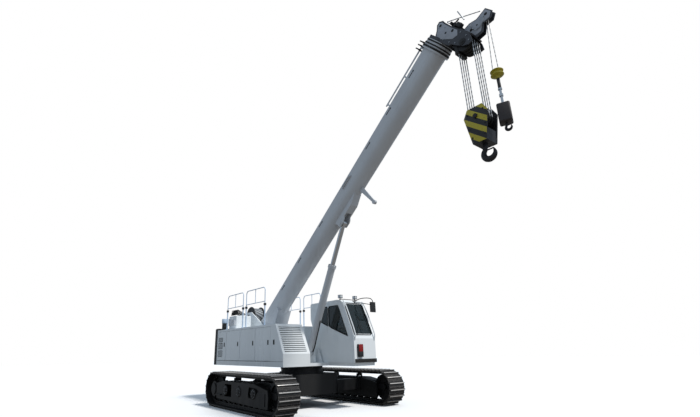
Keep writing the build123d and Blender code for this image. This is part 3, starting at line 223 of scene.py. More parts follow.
@dataclass(frozen=True)
class StripedEnamel:
    """Warning stripes sprayed on steel plate, two colours at a slant in the plate's own plane."""

    name: str
    light: str = "#b9ac2c"
    dark: str = "#1b1b1c"
    slant: float = math.radians(41.0)
    pitch_mm: float = 267.0
    shift_mm: float = 226.0

    def build(self) -> bpy.types.Material:
        """Return the material."""
        material = bpy.data.materials.new(self.name)
        material.use_nodes = True
        tree = material.node_tree
        shader = tree.nodes["Principled BSDF"]
        place = add_node(tree, "ShaderNodeTexCoord").outputs["Object"]
        across = add_node(tree, "ShaderNodeVectorMath", {
            0: place, 1: (math.sin(self.slant), 0.0, math.cos(self.slant))}, operation="DOT_PRODUCT")
        shifted = add_node(tree, "ShaderNodeMath", {
            0: across.outputs["Value"], 1: self.shift_mm / 1000}, operation="ADD")
        wrapped = add_node(tree, "ShaderNodeMath", {
            0: shifted.outputs["Value"], 1: self.pitch_mm / 1000}, operation="FLOORED_MODULO")
        band = add_node(tree, "ShaderNodeMath", {
            0: wrapped.outputs["Value"], 1: self.pitch_mm / 2000}, operation="GREATER_THAN")
        stripes = add_node(tree, "ShaderNodeMix", {
            "Factor": band.outputs["Value"], "A": linear(self.dark), "B": linear(self.light)},
            data_type="RGBA")
        chips = add_node(tree, "ShaderNodeTexNoise", {"Vector": place, "Scale": 34.0, "Detail": 8.0})
        chip_share = add_node(tree, "ShaderNodeMapRange", {
            "Value": chips.outputs["Fac"], "From Min": 0.62, "From Max": 0.68, "To Min": 0.0, "To Max": 0.8})
        colour = add_node(tree, "ShaderNodeMix", {
            "Factor": chip_share.outputs["Result"], "A": stripes.outputs["Result"], "B": linear("#3d3a35")},
            data_type="RGBA")
        bump = add_node(tree, "ShaderNodeBump", {
            "Height": chips.outputs["Fac"], "Strength": 0.3, "Distance": 0.001})
        tree.links.new(colour.outputs["Result"], shader.inputs["Base Color"])
        tree.links.new(bump.outputs["Normal"], shader.inputs["Normal"])
        shader.inputs["Roughness"].default_value = 0.45
        return material


@dataclass(frozen=True)
class WireRope:
    """Galvanised wire rope, its strands laid at a slant round a vertical run."""

    name: str
    colour: str = "#cfd2d4"
    groove: str = "#747678"
    lay_mm: float = 60.0

    def build(self) -> bpy.types.Material:
        """Return the material."""
        material = bpy.data.materials.new(self.name)
        material.use_nodes = True
        tree = material.node_tree
        shader = tree.nodes["Principled BSDF"]
        place = add_node(tree, "ShaderNodeTexCoord").outputs["Object"]
        turned = add_node(tree, "ShaderNodeMapping", {"Vector": place, "Rotation": (0.5, 0.5, 0.0)})
        lay = add_node(tree, "ShaderNodeTexWave", {
            "Vector": turned.outputs["Vector"], "Scale": 1000 / self.lay_mm / 6, "Distortion": 0.6},
            bands_direction="Z")
        colour = add_node(tree, "ShaderNodeMix", {
            "Factor": lay.outputs["Fac"], "A": linear(self.groove), "B": linear(self.colour)},
            data_type="RGBA")
        bump = add_node(tree, "ShaderNodeBump", {
            "Height": lay.outputs["Fac"], "Strength": 0.9, "Distance": 0.003})
        tree.links.new(colour.outputs["Result"], shader.inputs["Base Color"])
        tree.links.new(bump.outputs["Normal"], shader.inputs["Normal"])
        shader.inputs["Metallic"].default_value = 0.7
        shader.inputs["Roughness"].default_value = 0.45
        return material


@dataclass(frozen=True)
class Glazing:
    """Tinted safety glass, or a clear moulded lens."""

    name: str
    colour: str = "#56676a"
    roughness: float = 0.02
    ior: float = 1.5
    share: float = 0.85

    def build(self) -> bpy.types.Material:
        """Return the material."""
        material = bpy.data.materials.new(self.name)
        material.use_nodes = True
        tree = material.node_tree
        shader = tree.nodes["Principled BSDF"]
        place = add_node(tree, "ShaderNodeTexCoord").outputs["Object"]
        film = add_node(tree, "ShaderNodeTexNoise", {"Vector": place, "Scale": 2.2, "Detail": 5.0})
        haze = add_node(tree, "ShaderNodeMapRange", {
            "Value": film.outputs["Fac"], "From Min": 0.35, "From Max": 0.75,
            "To Min": self.roughness, "To Max": self.roughness + 0.07})
        tree.links.new(haze.outputs["Result"], shader.inputs["Roughness"])
        shader.inputs["Base Color"].default_value = linear(self.colour)
        shader.inputs["Transmission Weight"].default_value = self.share
        shader.inputs["IOR"].default_value = self.ior
        return material


@dataclass(frozen=True)
class WovenCloth:
    """Hard-wearing seat cloth with a plain weave."""

    name: str
    colour: str = "#2d3036"
    thread_mm: float = 4.0

    def build(self) -> bpy.types.Material:
        """Return the material."""
        material = bpy.data.materials.new(self.name)
        material.use_nodes = True
        tree = material.node_tree
        shader = tree.nodes["Principled BSDF"]
        place = add_node(tree, "ShaderNodeTexCoord").outputs["Object"]
        weave = add_node(tree, "ShaderNodeTexVoronoi", {"Vector": place, "Scale": 1000 / self.thread_mm})
        colour = add_node(tree, "ShaderNodeMix", {
            "Factor": weave.outputs["Distance"], "A": linear("#454a52"), "B": linear(self.colour)},
            data_type="RGBA")
        bump = add_node(tree, "ShaderNodeBump", {
            "Height": weave.outputs["Distance"], "Strength": 0.5, "Distance": 0.002})
        tree.links.new(colour.outputs["Result"], shader.inputs["Base Color"])
        tree.links.new(bump.outputs["Normal"], shader.inputs["Normal"])
        shader.inputs["Roughness"].default_value = 0.9
        shader.inputs["Sheen Weight"].default_value = 0.3
        return material


# Two-pack enamel on steel plate: near white with a cool cast, faint dust that runs down, a wet gloss.
WHITE_ENAMEL = Finish("white_enamel", "#e6ebee", "#c3c7c6", share=0.22, patch_mm=900, grain_mm=18,
                      grain=0.25, roughness=0.30, coat=0.35, streaks=True)
# The boom's enamel: the white enamel made darker, as painted shade of the boom's side and belly, with a little
# more grey in patches that run down.
SHADED_BOOM_ENAMEL = Finish("boom_enamel_painted_shade", "#c6cacf", "#a5a6a9", share=0.3, patch_mm=1300, grain_mm=22,
                     grain=0.25, roughness=0.36, coat=0.25, streaks=True)
# Chassis black: half matt, greyed by dried mud.
CHASSIS_BLACK = Finish("chassis_black", "#101113", "#2b2825", share=0.22, patch_mm=420, grain_mm=16,
                       grain=0.6, roughness=0.52, streaks=True)
# Ballast paint: black, duller than the chassis.
BALLAST_BLACK = Finish("ballast_black", "#1d1f20", "#3d4143", share=0.3, patch_mm=700, grain_mm=24,
                       grain=0.8, roughness=0.6)
# The head: dark blue-grey enamel, nearly black where it is greasy.
HEAD_GREY = Finish("head_grey_enamel", "#2c2e36", "#1b1c20", share=0.35, patch_mm=260, grain_mm=12,
                   grain=0.4, roughness=0.42, coat=0.2)
# Bolted plates of the head: the same enamel, several tones lighter and chalked by the sun.
PLATE_GREY = Finish("head_plate_grey", "#a3a8b1", "#6c7079", share=0.3, patch_mm=180, grain_mm=12,
                    grain=0.4, roughness=0.45, coat=0.1)
# Rails: enamel painted pale blue, as painted sky light on the upper faces of the hoops.
SKY_LIT_RAIL_ENAMEL = Finish("rail_enamel_painted_sky_light", "#c0d4ea", "#9db0c2", share=0.25, patch_mm=300, grain_mm=10,
                   grain=0.15, roughness=0.32, coat=0.3)
# Steel on the crests of the shoes, worn bright by rock and gravel, its near-white colour partly a painted
# highlight of the lit grouser tips.
WORN_HIGHLIT_STEEL = Finish("gravel_worn_steel_painted_highlight", "#d6d3cf", "#6a6560", share=0.4, patch_mm=60, grain_mm=5,
                      grain=0.4, roughness=0.4, metallic=0.3)
# Forged and oiled steel of hooks and weights.
FORGED_STEEL = Finish("forged_steel", "#26272c", "#4a3c36", share=0.3, patch_mm=160, grain_mm=9,
                      grain=0.7, roughness=0.45, metallic=0.45)
# Overhauling weight: brown-black paint, dry and chipped.
WEIGHT_PAINT = Finish("weight_brown_paint", "#2e2829", "#4b4240", share=0.35, patch_mm=200, grain_mm=11,
                      grain=0.6, roughness=0.55)
# Zinc-plated bolts, gone slightly dull.
ZINC = Finish("zinc_plated_steel", "#9b9fa3", "#6d6f70", share=0.3, patch_mm=60, grain_mm=5,
              grain=0.1, roughness=0.38, metallic=0.9)
# The ram's rod: hard chrome, polished by its seals.
CHROME = Finish("hard_chrome", "#c9ccd0", "#9fa2a6", share=0.12, patch_mm=300, grain_mm=30,
                grain=0.02, roughness=0.12, metallic=1.0)
# Seals and hoses: black rubber, greyed by dust.
RUBBER = Finish("black_rubber", "#141414", "#2f2e2c", share=0.3, patch_mm=90, grain_mm=6,
                grain=0.2, roughness=0.7)
# Moulded black plastic with a fine grain, on latches, lamps and the mirror.
MOULDED = Finish("moulded_black_plastic", "#1a1b1d", "#303236", share=0.2, patch_mm=120, grain_mm=4,
                 grain=0.12, roughness=0.5)
# Interior trim: grey plastic, matt.
TRIM_GREY = Finish("trim_grey_plastic", "#4c5054", "#3a3d41", share=0.3, patch_mm=150, grain_mm=4,
                   grain=0.12, roughness=0.6)
# Grille wire: galvanised, with dirt in its corners.
MESH_GREY = Finish("grille_wire", "#6a7076", "#3a3d40", share=0.4, patch_mm=80, grain_mm=5,
                   grain=0.1, roughness=0.5, metallic=0.4)
# Engine enamel: mid grey under a film of oil.
ENGINE_GREY = Finish("engine_grey_enamel", "#5d6468", "#33302c", share=0.35, patch_mm=220, grain_mm=10,
                     grain=0.5, roughness=0.5)
# Saucer: signal yellow, sun-bleached and oily.
SIGNAL_YELLOW = Finish("signal_yellow_enamel", "#b4a72e", "#5d5726", share=0.3, patch_mm=120,
                       grain_mm=8, grain=0.3, roughness=0.45)
# Mirror glass: silvered, almost perfectly smooth.
SILVERED = Finish("silvered_glass", "#cfd6d8", "#b9c0c2", share=0.05, patch_mm=400, grain_mm=50,
                  grain=0.01, roughness=0.03, metallic=1.0)
# Lenses of acrylic, red at the rear and clear at the front.
RED_LENS = Glazing("red_lens", colour="#a51f1c", roughness=0.12, ior=1.49, share=0.35)
CLEAR_LENS = Glazing("clear_lens", colour="#eef3f5", roughness=0.06, ior=1.49, share=0.4)
# Cab panes: tinted safety glass.
CAB_GLASS = Glazing("tinted_safety_glass", colour="#46575a")
# Track shoes: dark steel, its edges rubbed bright, the bright edge colour partly a painted highlight, with mud
# in its corners.
TRACK_STEEL = WornSteel("worn_and_highlit_track_steel", colour="#121112", worn="#a8a39e", dirt="#1f1c1a", edge_mm=18)
# Sheaves and idlers: black paint that the rope and the belt have rubbed off.
WORN_BLACK = WornSteel("rubbed_black_steel", colour="#111113", worn="#62605e", dirt="#1f1c1a", edge_mm=9)
# Hook block: slanted yellow and black bands.
BLOCK_STRIPES = StripedEnamel("hook_block_stripes")
# Wire rope: galvanised strands, greased.
ROPE = WireRope("galvanised_rope")
# Seat: dark woven cloth.
SEAT_CLOTH = WovenCloth("seat_cloth")


class Paints:
    """Builds each finish once and hands it out."""

    def __init__(self) -> None:
        """Start with no material built."""
        self._built: dict[str, bpy.types.Material] = {}

    def get(self, finish) -> bpy.types.Material:
        """Return the material of a finish."""
        if finish.name not in self._built:
            self._built[finish.name] = finish.build()
        return self._built[finish.name]


# ---------------------------------------------------------------- workshop


class Workshop:
    """Makes, shapes and fits pieces with Blender's own modelling operators."""

    def __init__(self, nodes: dict[str, bpy.types.Object]) -> None:
        """Keep the CAD nodes and the paints.

        Args:
            nodes: CAD node name to its object.
        """
        self.nodes = nodes
        self.paints = Paints()

    def activate(self, piece: bpy.types.Object) -> None:
        """Select one piece alone and make it active."""
        bpy.ops.object.select_all(action="DESELECT")
        piece.select_set(True)
        bpy.context.view_layer.objects.active = piece

    def settle(self, piece: bpy.types.Object) -> bpy.types.Object:
        """Apply the piece's place to its mesh and return it."""
        self.activate(piece)
        bpy.ops.object.transform_apply(location=True, rotation=True, scale=True)
        return piece

    def block(self, low: Point, high: Point, bevel: float = 0.0, segments: int = 2) -> bpy.types.Object:
        """Return a box between two corners with its edges rounded."""
        centre = [(a + b) / 2 for a, b in zip(low, high)]
        size = [abs(b - a) for a, b in zip(low, high)]
        bpy.ops.mesh.primitive_cube_add(size=1.0, location=centre)
        piece = bpy.context.object
        piece.scale = size
        self.settle(piece)
        return self.soften(piece, bevel, segments)

    def round_bar(self, start: Point, end: Point, radius: float, bevel: float = 0.0, sides: int = 24,
                  tip_radius: float | None = None) -> bpy.types.Object:
        """Return a cylinder, or a cone where tip_radius is given, between two places."""
        run = Vector(end) - Vector(start)
        bpy.ops.mesh.primitive_cone_add(
            vertices=sides, radius1=radius, radius2=radius if tip_radius is None else tip_radius,
            depth=run.length, location=(Vector(start) + Vector(end)) / 2,
            rotation=run.to_track_quat("Z", "Y").to_euler())
        return self.soften(self.settle(bpy.context.object), bevel, 2)

    def ring(self, centre: Point, axis: Point, major: float, minor: float, sides: int = 48,
             around: int = 8) -> bpy.types.Object:
        """Return a torus about the given axis."""
        bpy.ops.mesh.primitive_torus_add(
            location=centre, rotation=Vector(axis).to_track_quat("Z", "Y").to_euler(),
            major_radius=major, minor_radius=minor, major_segments=sides, minor_segments=around)
        return self.settle(bpy.context.object)

    def pipe(self, points: Sequence[Point], radius: float, order: int = 3) -> bpy.types.Object:
        """Return a bent tube along the given places, smoothed where the order is 3."""
        bpy.ops.curve.primitive_nurbs_path_add(location=(0.0, 0.0, 0.0))
        piece = bpy.context.object
        curve = piece.data
        curve.splines.clear()
        spline = curve.splines.new("NURBS")
        spline.points.add(len(points) - 1)
        for knot, place in zip(spline.points, points):
            knot.co = (*place, 1.0)
        spline.order_u = order
        spline.use_endpoint_u = True
        spline.resolution_u = 6
        curve.bevel_depth = radius
        curve.bevel_resolution = 3
        curve.use_fill_caps = True
        self.activate(piece)
        bpy.ops.object.convert(target="MESH")
        return self.settle(bpy.context.object)

    def plate(self, outline: Sequence[tuple[float, float]], y_low: float, y_high: float,
              bevel: float = 0.0) -> bpy.types.Object:
        """Return a plate with the given X-Z outline between two Y places."""
        mesh = bpy.data.meshes.new("plate")
        mesh.from_pydata([(x, y_low, z) for x, z in outline], [], [list(range(len(outline)))])
        piece = bpy.data.objects.new("plate", mesh)
        bpy.context.scene.collection.objects.link(piece)
        self.activate(piece)
        bpy.ops.object.mode_set(mode="EDIT")
        bpy.ops.mesh.select_all(action="SELECT")
        bpy.ops.mesh.extrude_region_move(TRANSFORM_OT_translate={"value": (0.0, y_high - y_low, 0.0)})
        bpy.ops.mesh.select_all(action="SELECT")
        bpy.ops.mesh.normals_make_consistent(inside=False)
        bpy.ops.object.mode_set(mode="OBJECT")
        return self.soften(piece, bevel, 2)

    def press(self, piece: bpy.types.Object, test: FaceTest, inset: float, depth: float,
              apart: bool = False) -> bpy.types.Object:
        """Inset the faces that pass the test and press them in, or raise them where depth is above 0."""
        self.activate(piece)
        bpy.ops.object.mode_set(mode="EDIT")
        bpy.ops.mesh.select_mode(type="FACE")
        bpy.ops.mesh.select_all(action="DESELECT")
        bpy.ops.object.mode_set(mode="OBJECT")
        for face in piece.data.polygons:
            face.select = test(face.center, face.normal)
        bpy.ops.object.mode_set(mode="EDIT")
        bpy.ops.mesh.inset(thickness=inset, depth=0.0, use_individual=apart)
        bpy.ops.mesh.inset(thickness=abs(depth) * 0.3, depth=depth, use_individual=apart)
        bpy.ops.object.mode_set(mode="OBJECT")
        return piece

    def soften(self, piece: bpy.types.Object, width: float, segments: int = 2) -> bpy.types.Object:
        """Round the piece's sharp edges by the given width."""
        if width > 0:
            self.activate(piece)
            rounding = piece.modifiers.new("rounding", "BEVEL")
            rounding.width = width
            rounding.segments = segments
            rounding.limit_method = "ANGLE"
            rounding.angle_limit = math.radians(40)
            bpy.ops.object.modifier_apply(modifier=rounding.name)
        return piece

    def join(self, pieces: Iterable[bpy.types.Object]) -> bpy.types.Object:
        """Join pieces into the first and return it."""
        members = list(pieces)
        self.activate(members[0])
        for member in members[1:]:
            member.select_set(True)
        if len(members) > 1:
            bpy.ops.object.join()
        return bpy.context.view_layer.objects.active

    def fit(self, piece: bpy.types.Object, name: str, finish, body: Body, slot: str) -> bpy.types.Object:
        """Name, paint and mount a finished piece.

        Args:
            piece: The piece, in place.
            name: Its plain name.
            finish: The finish that it gets.
            body: The body that it rides on.
            slot: The material slot that its finish belongs to; not used.

        Returns:
            The piece.
        """
        piece.name = name
        piece.data.name = name
        piece.data.materials.clear()
        piece.data.materials.append(self.paints.get(finish))
        self.activate(piece)
        bpy.ops.object.shade_smooth_by_angle(angle=math.radians(35))
        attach(piece, body.value)
        LOG.info("%s rides on %s", name, body.value)
        return piece

    def paint_node(self, finish, *names: str) -> None:
        """Give CAD nodes a finish."""
        for name in names:
            materials = self.nodes[name].data.materials
            material = self.paints.get(finish)
            if len(materials) == 0:
                materials.append(material)
            for index in range(len(materials)):
                materials[index] = material

    def scatter(self, stamp: bpy.types.Object, places: Iterable[Matrix]) -> bpy.types.Object:
        """Return one piece with a copy of the stamp at each place. The stamp itself goes.

        Args:
            stamp: A piece modelled at the origin.
            places: Where its copies stand.
        """
        corners: list[Vector] = []
        faces: list[list[int]] = []
        for place in places:
            start = len(corners)
            corners += [place @ vertex.co for vertex in stamp.data.vertices]
            faces += [[start + index for index in face.vertices] for face in stamp.data.polygons]
        mesh = bpy.data.meshes.new("scattered")
        mesh.from_pydata(corners, [], faces)
        bpy.data.objects.remove(stamp)
        piece = bpy.data.objects.new("scattered", mesh)
        bpy.context.scene.collection.objects.link(piece)
        return piece

    def bolts(self, places: Iterable[Point], axis: Point, radius: float, height: float) -> bpy.types.Object:
        """Return hexagon bolt heads on washers at the given places, in one piece."""
        return self.scatter(self.bolt(radius, height), [facing(place, axis) for place in places])

    def bolt(self, radius: float, height: float) -> bpy.types.Object:
        """Return one hexagon bolt head on its washer, standing up from the origin."""
        washer = self.round_bar((0, 0, 0), (0, 0, height * 0.25), radius * 1.35, sides=14)
        head = self.round_bar((0, 0, 0), (0, 0, height), radius, bevel=height * 0.12, sides=6)
        return self.join([washer, head])

    def turned(self, profile: Sequence[tuple[float, float]], centre: Point, axis: Point = (0, 0, 1),
               steps: int = 40) -> bpy.types.Object:
        """Return a form turned on a lathe.

        Args:
            profile: Radius and height of each point, from the foot up.
            centre: Where the foot's height of 0 lies.
            axis: Direction of the form's height.
            steps: Faces round the form.
        """
        mesh = bpy.data.meshes.new("turned")
        mesh.from_pydata([(radius, 0.0, height) for radius, height in profile],
                         [(i, i + 1) for i in range(len(profile) - 1)], [])
        piece = bpy.data.objects.new("turned", mesh)
        bpy.context.scene.collection.objects.link(piece)
        self.activate(piece)
        bpy.ops.object.mode_set(mode="EDIT")
        bpy.ops.mesh.select_all(action="SELECT")
        bpy.ops.mesh.spin(steps=steps, angle=2 * math.pi, center=(0, 0, 0), axis=(0, 0, 1))
        bpy.ops.mesh.select_all(action="SELECT")
        bpy.ops.mesh.remove_doubles(threshold=0.0002)
        bpy.ops.mesh.normals_make_consistent(inside=False)
        bpy.ops.object.mode_set(mode="OBJECT")
        piece.matrix_world = facing(centre, axis)
        return self.settle(piece)

    def hook(self, throat: tuple[float, float], bend: float, thick: float, top: float) -> bpy.types.Object:
        """Return a forged hook that hangs from its shank and opens towards +X.

        Args:
            throat: X of the shank and Z of the bend's middle.
            bend: Radius of the bend's centreline.
            thick: Radius of the steel at the saddle.
            top: Z of the shank's top.
        """
        middle = throat[0] + bend * 0.45
        knots = [(throat[0], top, 0.75), (throat[0], throat[1] + bend * 1.65, 0.75)]
        for degrees, share in ((128, 0.76), (160, 0.84), (195, 0.95), (230, 1.0), (265, 1.0), (300, 0.92),
                               (335, 0.74), (5, 0.52), (32, 0.26)):
            a = math.radians(degrees)
            knots.append((middle + bend * math.cos(a), throat[1] + bend * math.sin(a), share))
        bpy.ops.curve.primitive_nurbs_path_add(location=(0.0, 0.0, 0.0))
        curve = bpy.context.object.data
        curve.splines.clear()
        spline = curve.splines.new("NURBS")
        spline.points.add(len(knots) - 1)
        for knot, (x, z, share) in zip(spline.points, knots):
            knot.co = (x, 0.0, z, 1.0)
            knot.radius = share
        spline.order_u = 3
        spline.use_endpoint_u = True
        spline.resolution_u = 8
        curve.bevel_depth = thick
        curve.bevel_resolution = 5
        curve.use_fill_caps = True
        bpy.ops.object.convert(target="MESH")
        forging = self.settle(bpy.context.object)
        latch = self.block((middle - bend * 0.75, -thick * 0.3, throat[1] + bend * 0.62),
                           (middle + bend * 0.88, thick * 0.3, throat[1] + bend * 0.74), thick * 0.05)
        return self.join([forging, latch])

    def on_boom(self, piece: bpy.types.Object) -> bpy.types.Object:
        """Carry a piece made along the boom's own axes to its place on the boom."""
        piece.matrix_world = BOOM_PLACE
        return self.settle(piece)


def facing(place: Point, axis: Point) -> Matrix:
    """Return the matrix that stands a form on a place, its height along the axis."""
    return Matrix.Translation(place) @ Vector(axis).to_track_quat("Z", "Y").to_matrix().to_4x4()


# The boom's own axes: X along it, Y to the left, Z square to it, with the angle it has at rest.
BOOM_ANGLE = math.radians(37.85)
BOOM_PLACE = Matrix.Translation((-2.36, 0.0, 2.955)) @ Matrix.Rotation(-BOOM_ANGLE, 4, "Y")
BOOM_HALF = 0.2975
BOOM_TOP = 0.306


# ---------------------------------------------------------------- sub-assemblies


@dataclass
class Undercarriage:
    """Bolts of the shoes, hubs and cover plates on the black crawler frames."""

    shop: Workshop
    shoes: int = 60
    half_base: float = 2.06
    axle_z: float = 0.59
    belt_radius: float = 0.515
    shoe_plate: float = 0.030
    track_y: float = 2.25

    def shoe_places(self, share: float) -> list[tuple[float, float, float]]:
        """Return X, Z and the outward angle on the belt's inner face, once for each shoe.

        Args:
            share: How far the place lies ahead of the shoe's middle, as a share of the pitch.
        """
        straight = 2 * self.half_base
        turn = math.pi * self.belt_radius
        pitch = 2 * (straight + turn) / self.shoes
        places = []
        for shoe in range(self.shoes):
            d = (shoe + 0.5 + share) * pitch
            if d < straight:
                places.append((self.half_base - d, self.axle_z + self.belt_radius, math.pi / 2))
            elif d < straight + turn:
                a = math.pi / 2 + (d - straight) / self.belt_radius
                places.append((-self.half_base + self.belt_radius * math.cos(a),
                               self.axle_z + self.belt_radius * math.sin(a), a))
            elif d < 2 * straight + turn:
                places.append((d - straight - turn - self.half_base, self.axle_z - self.belt_radius,
                               -math.pi / 2))
            else:
                a = -math.pi / 2 + (d - 2 * straight - turn) / self.belt_radius
                places.append((self.half_base + self.belt_radius * math.cos(a),
                               self.axle_z + self.belt_radius * math.sin(a), a))
        return places

    def build(self) -> None:
        """Fit every piece of the undercarriage."""
        bolts = []
        for x, z, angle in self.shoe_places(0.27):
            out = (math.cos(angle), 0.0, math.sin(angle))
            for side in (-1, 1):
                for y in (-0.145, -0.085, 0.085, 0.145):
                    bolts.append(facing((x + out[0] * self.shoe_plate, side * self.track_y + y,
                                         z + out[2] * self.shoe_plate), out))
        stamp = self.shop.round_bar((0, 0, -0.002), (0, 0, 0.012), 0.014, sides=6)
        self.shop.fit(self.shop.scatter(stamp, bolts), "shoe_bolts", TRACK_STEEL, Body.UNDERCARRIAGE,
                      "track_steel")
        # Pale strips on the shoe crests: worn steel, and partly a painted highlight of the lit grouser tips.
        crests = []
        for x, z, angle in self.shoe_places(-0.04):
            out = (math.cos(angle), 0.0, math.sin(angle))
            for side in (-1, 1):
                place = (x + out[0] * 0.075, side * self.track_y, z + out[2] * 0.075)
                crests.append(Matrix.Translation(place) @ Matrix.Rotation(math.pi / 2 - angle, 4, "Y"))
        crest = self.shop.block((-0.013, -0.368, -0.004), (0.013, 0.368, 0.002), 0.0015)
        self.shop.fit(self.shop.scatter(crest, crests), "shoe_crests", WORN_HIGHLIT_STEEL, Body.UNDERCARRIAGE,
                      "track_steel")
        for side, word in ((-1, "right"), (1, "left")):
            face = side * 2.55
            out = (0.0, float(side), 0.0)
            covers = [self.shop.turned([(0.0, -0.01), (0.15, -0.01), (0.15, 0.012), (0.135, 0.022),
                                        (0.075, 0.022), (0.070, 0.042), (0.0, 0.046)],
                                       (x, face, 0.60), out) for x in (-1.0, 0.0, 1.0)]
            self.shop.fit(self.shop.join(covers), f"frame_covers_{word}", WORN_BLACK,
                          Body.UNDERCARRIAGE, "dark_steel")
            ring = [(x + 0.112 * math.cos(a), face + side * 0.022, 0.60 + 0.112 * math.sin(a))
                    for x in (-1.0, 0.0, 1.0) for a in (math.tau * i / 8 for i in range(8))]
            self.shop.fit(self.shop.bolts(ring, out, 0.011, 0.012), f"cover_bolts_{word}", ZINC,
                          Body.UNDERCARRIAGE, "steel")


